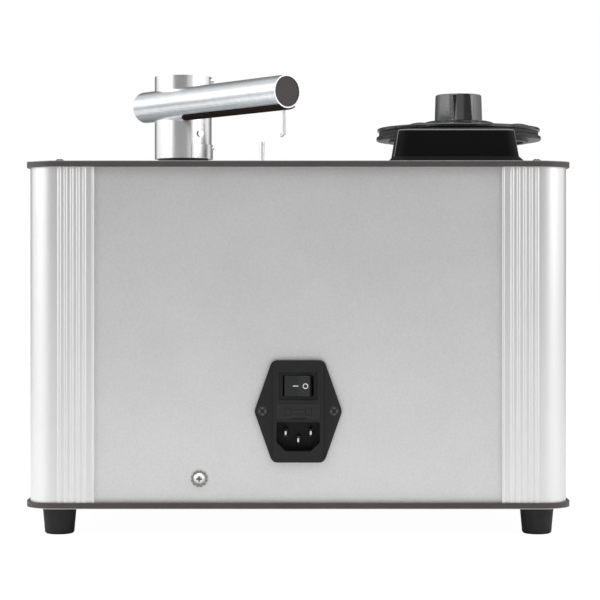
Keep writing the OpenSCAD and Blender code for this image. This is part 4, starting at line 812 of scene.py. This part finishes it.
# ---- Clamp seal, clamp pads and blower gasket ----
# A ring of soft black rubber under the clamp's rim keeps fluid off the label, and four crowned
# pads stand on top of the disc. The ring between the blower and the tank's lid is soft rubber too.

seal_rubber = Finish("seal_rubber")
bloom_dust = seal_rubber.grain(0.0006)
seal_rubber.surface(
    base_color=seal_rubber.mix(bloom_dust, shade(18, 18, 18), shade(38, 38, 39)),
    roughness=0.55 + bloom_dust * 0.15,
    normal=seal_rubber.bump(bloom_dust, 0.00002),
)
seal_rubber.coat("clamp_seal", "clamp_pads", "blower_gasket")

# ---- Clamp knob ----
# The knob is moulded in glossy dark grey plastic with eight scooped faces, and is screwed down on
# the disc.

knob_plastic = Finish("knob_plastic")
knob_haze = knob_plastic.grain(0.0004)
knob_plastic.surface(
    base_color=knob_plastic.mix(knob_haze, shade(18, 17, 18), shade(30, 28, 29)),
    roughness=0.1 + knob_haze * 0.06,
    normal=knob_plastic.bump(knob_haze, 0.000004, edge=0.0006),
    specular_ior_level=1.0,
    coat_weight=0.5 + knob_haze * 0.3,
)
knob_plastic.coat("clamp_knob")

# ---- Platter motor ----
# A small gear motor hangs under the top plate beside the bearing. Its case is painted grey, and
# screws hold it from above.

motor_paint = Finish("motor_paint")
speck = motor_paint.grain(0.0008)
motor_paint.surface(
    base_color=motor_paint.mix(speck, shade(108, 112, 116), shade(134, 138, 142)),
    roughness=0.4 + speck * 0.1,
)
motor_paint.coat("platter_motor")

# ---- Drive belt ----
# A flat belt of black rubber joins the motor's pulley to the platter's, just above the deck. It
# is faintly dusty from use.

belt_rubber = Finish("belt_rubber")
belt_dust = belt_rubber.grain(0.0006)
belt_rubber.surface(
    base_color=belt_rubber.mix(belt_dust, shade(20, 20, 20), shade(36, 36, 36)),
    roughness=0.55 + belt_dust * 0.15,
)
belt_rubber.coat("drive_belt")

# ---- Motor cowl ----
# A cowl moulded in black plastic stands over the motor's pulley, open towards the platter. A pale
# line of painted highlight runs along the rounded edges round its top and up its corners.

EDGE_REACH = (0.006, 0.005)
TOP_HIGHLIGHT_FACING = ((0.4, 0.55), (0.9, 0.95))
CORNER_HIGHLIGHT_FACING = ((0.88, 0.91), (0.95, 0.97))
cowl_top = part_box("motor_cowl")[1][2]
cowl_plastic = Finish("cowl_plastic")
texture = cowl_plastic.grain(0.0006, detail=3.0)
edge_start, edge_end = (cowl_top - reach for reach in EDGE_REACH)
# Painted highlight: pale lines on the rounded top and corner edges.
top_highlight = cowl_plastic.band(cowl_plastic.facing("Z"), *TOP_HIGHLIGHT_FACING)
top_highlight = top_highlight * cowl_plastic.ramp(cowl_plastic.axis("Z"), edge_start, edge_end)
corner_highlight = cowl_plastic.band(abs(cowl_plastic.facing("X")), *CORNER_HIGHLIGHT_FACING)
painted_edge_highlight = cowl_plastic.maths("MAXIMUM", top_highlight, corner_highlight)
cowl_colour = cowl_plastic.mix(texture, shade(8, 8, 8), shade(15, 15, 15))
cowl_plastic.surface(
    base_color=cowl_plastic.mix(painted_edge_highlight * 0.6, cowl_colour, shade(150, 150, 150)),
    roughness=0.4 + texture * 0.14,
    normal=cowl_plastic.bump(texture, 0.00002, edge=0.0005),
    specular_ior_level=0.06,
)
cowl_plastic.coat("motor_cowl")

# ---- Toggle switches ----
# Two toggle switches stand on the front edge of the top plate. Each has a black plastic body
# inside the case and a plated bush that passes up through the plate, where a nut holds it.

BUSH_START = (0.206, 0.2062)
switch_plastic = Finish("switch_plastic")
switch_grain = switch_plastic.grain(0.0005)
bush = switch_plastic.ramp(switch_plastic.axis("Z"), *BUSH_START)
switch_plastic.surface(
    base_color=switch_plastic.mix(bush, shade(36, 36, 37), shade(206, 206, 204)),
    metallic=bush,
    roughness=0.3 + switch_grain * 0.15,
)
switch_plastic.coat("switch_bodies")

# ---- Switch levers ----
# Each switch has a chromed lever, satin from use, that tilts on a cross pin in the bush and
# widens towards its round tip. One is for the motor and the other for the suction.

lever_plate = Finish("lever_chrome")
polish = lever_plate.grain(0.0008)
lever_plate.surface(
    base_color=lever_plate.mix(polish, shade(218, 218, 218), shade(244, 244, 244)),
    metallic=1.0,
    roughness=0.42 + polish * 0.1,
)
lever_plate.coat("motor_lever", "vacuum_lever")

# ---- Waste tank ----
# A tank moulded in milky plastic stands in the left of the case and collects the used fluid. Its
# lid closes it and carries the blower.

tank_plastic = Finish("tank_plastic")
tank_flow = tank_plastic.grain(0.02)
tank_plastic.surface(
    base_color=tank_plastic.mix(tank_flow, shade(214, 214, 208), shade(234, 234, 230)),
    roughness=0.4 + tank_flow * 0.1,
)
tank_plastic.coat("waste_tank", "tank_lid")

# ---- Blower ----
# A fan turns in a housing on the tank's lid and draws air through the arm. Both are moulded in
# grey plastic.

blower_plastic = Finish("blower_plastic")
blower_grain = blower_plastic.grain(0.001)
blower_plastic.surface(
    base_color=blower_plastic.mix(blower_grain, shade(96, 96, 98), shade(120, 120, 122)),
    roughness=0.45 + blower_grain * 0.1,
)
blower_plastic.coat("blower_housing", "blower_fan")

# ---- Suction hose ----
# A short dark grey hose joins the foot of the suction pipe to the stub on the tank's lid. It is
# pushed over both.

hose_rubber = Finish("hose_rubber")
hose_grain = hose_rubber.grain(0.001)
hose_rubber.surface(
    base_color=hose_rubber.mix(hose_grain, shade(48, 48, 48), shade(64, 64, 64)),
    roughness=0.5 + hose_grain * 0.12,
)
hose_rubber.coat("suction_hose")

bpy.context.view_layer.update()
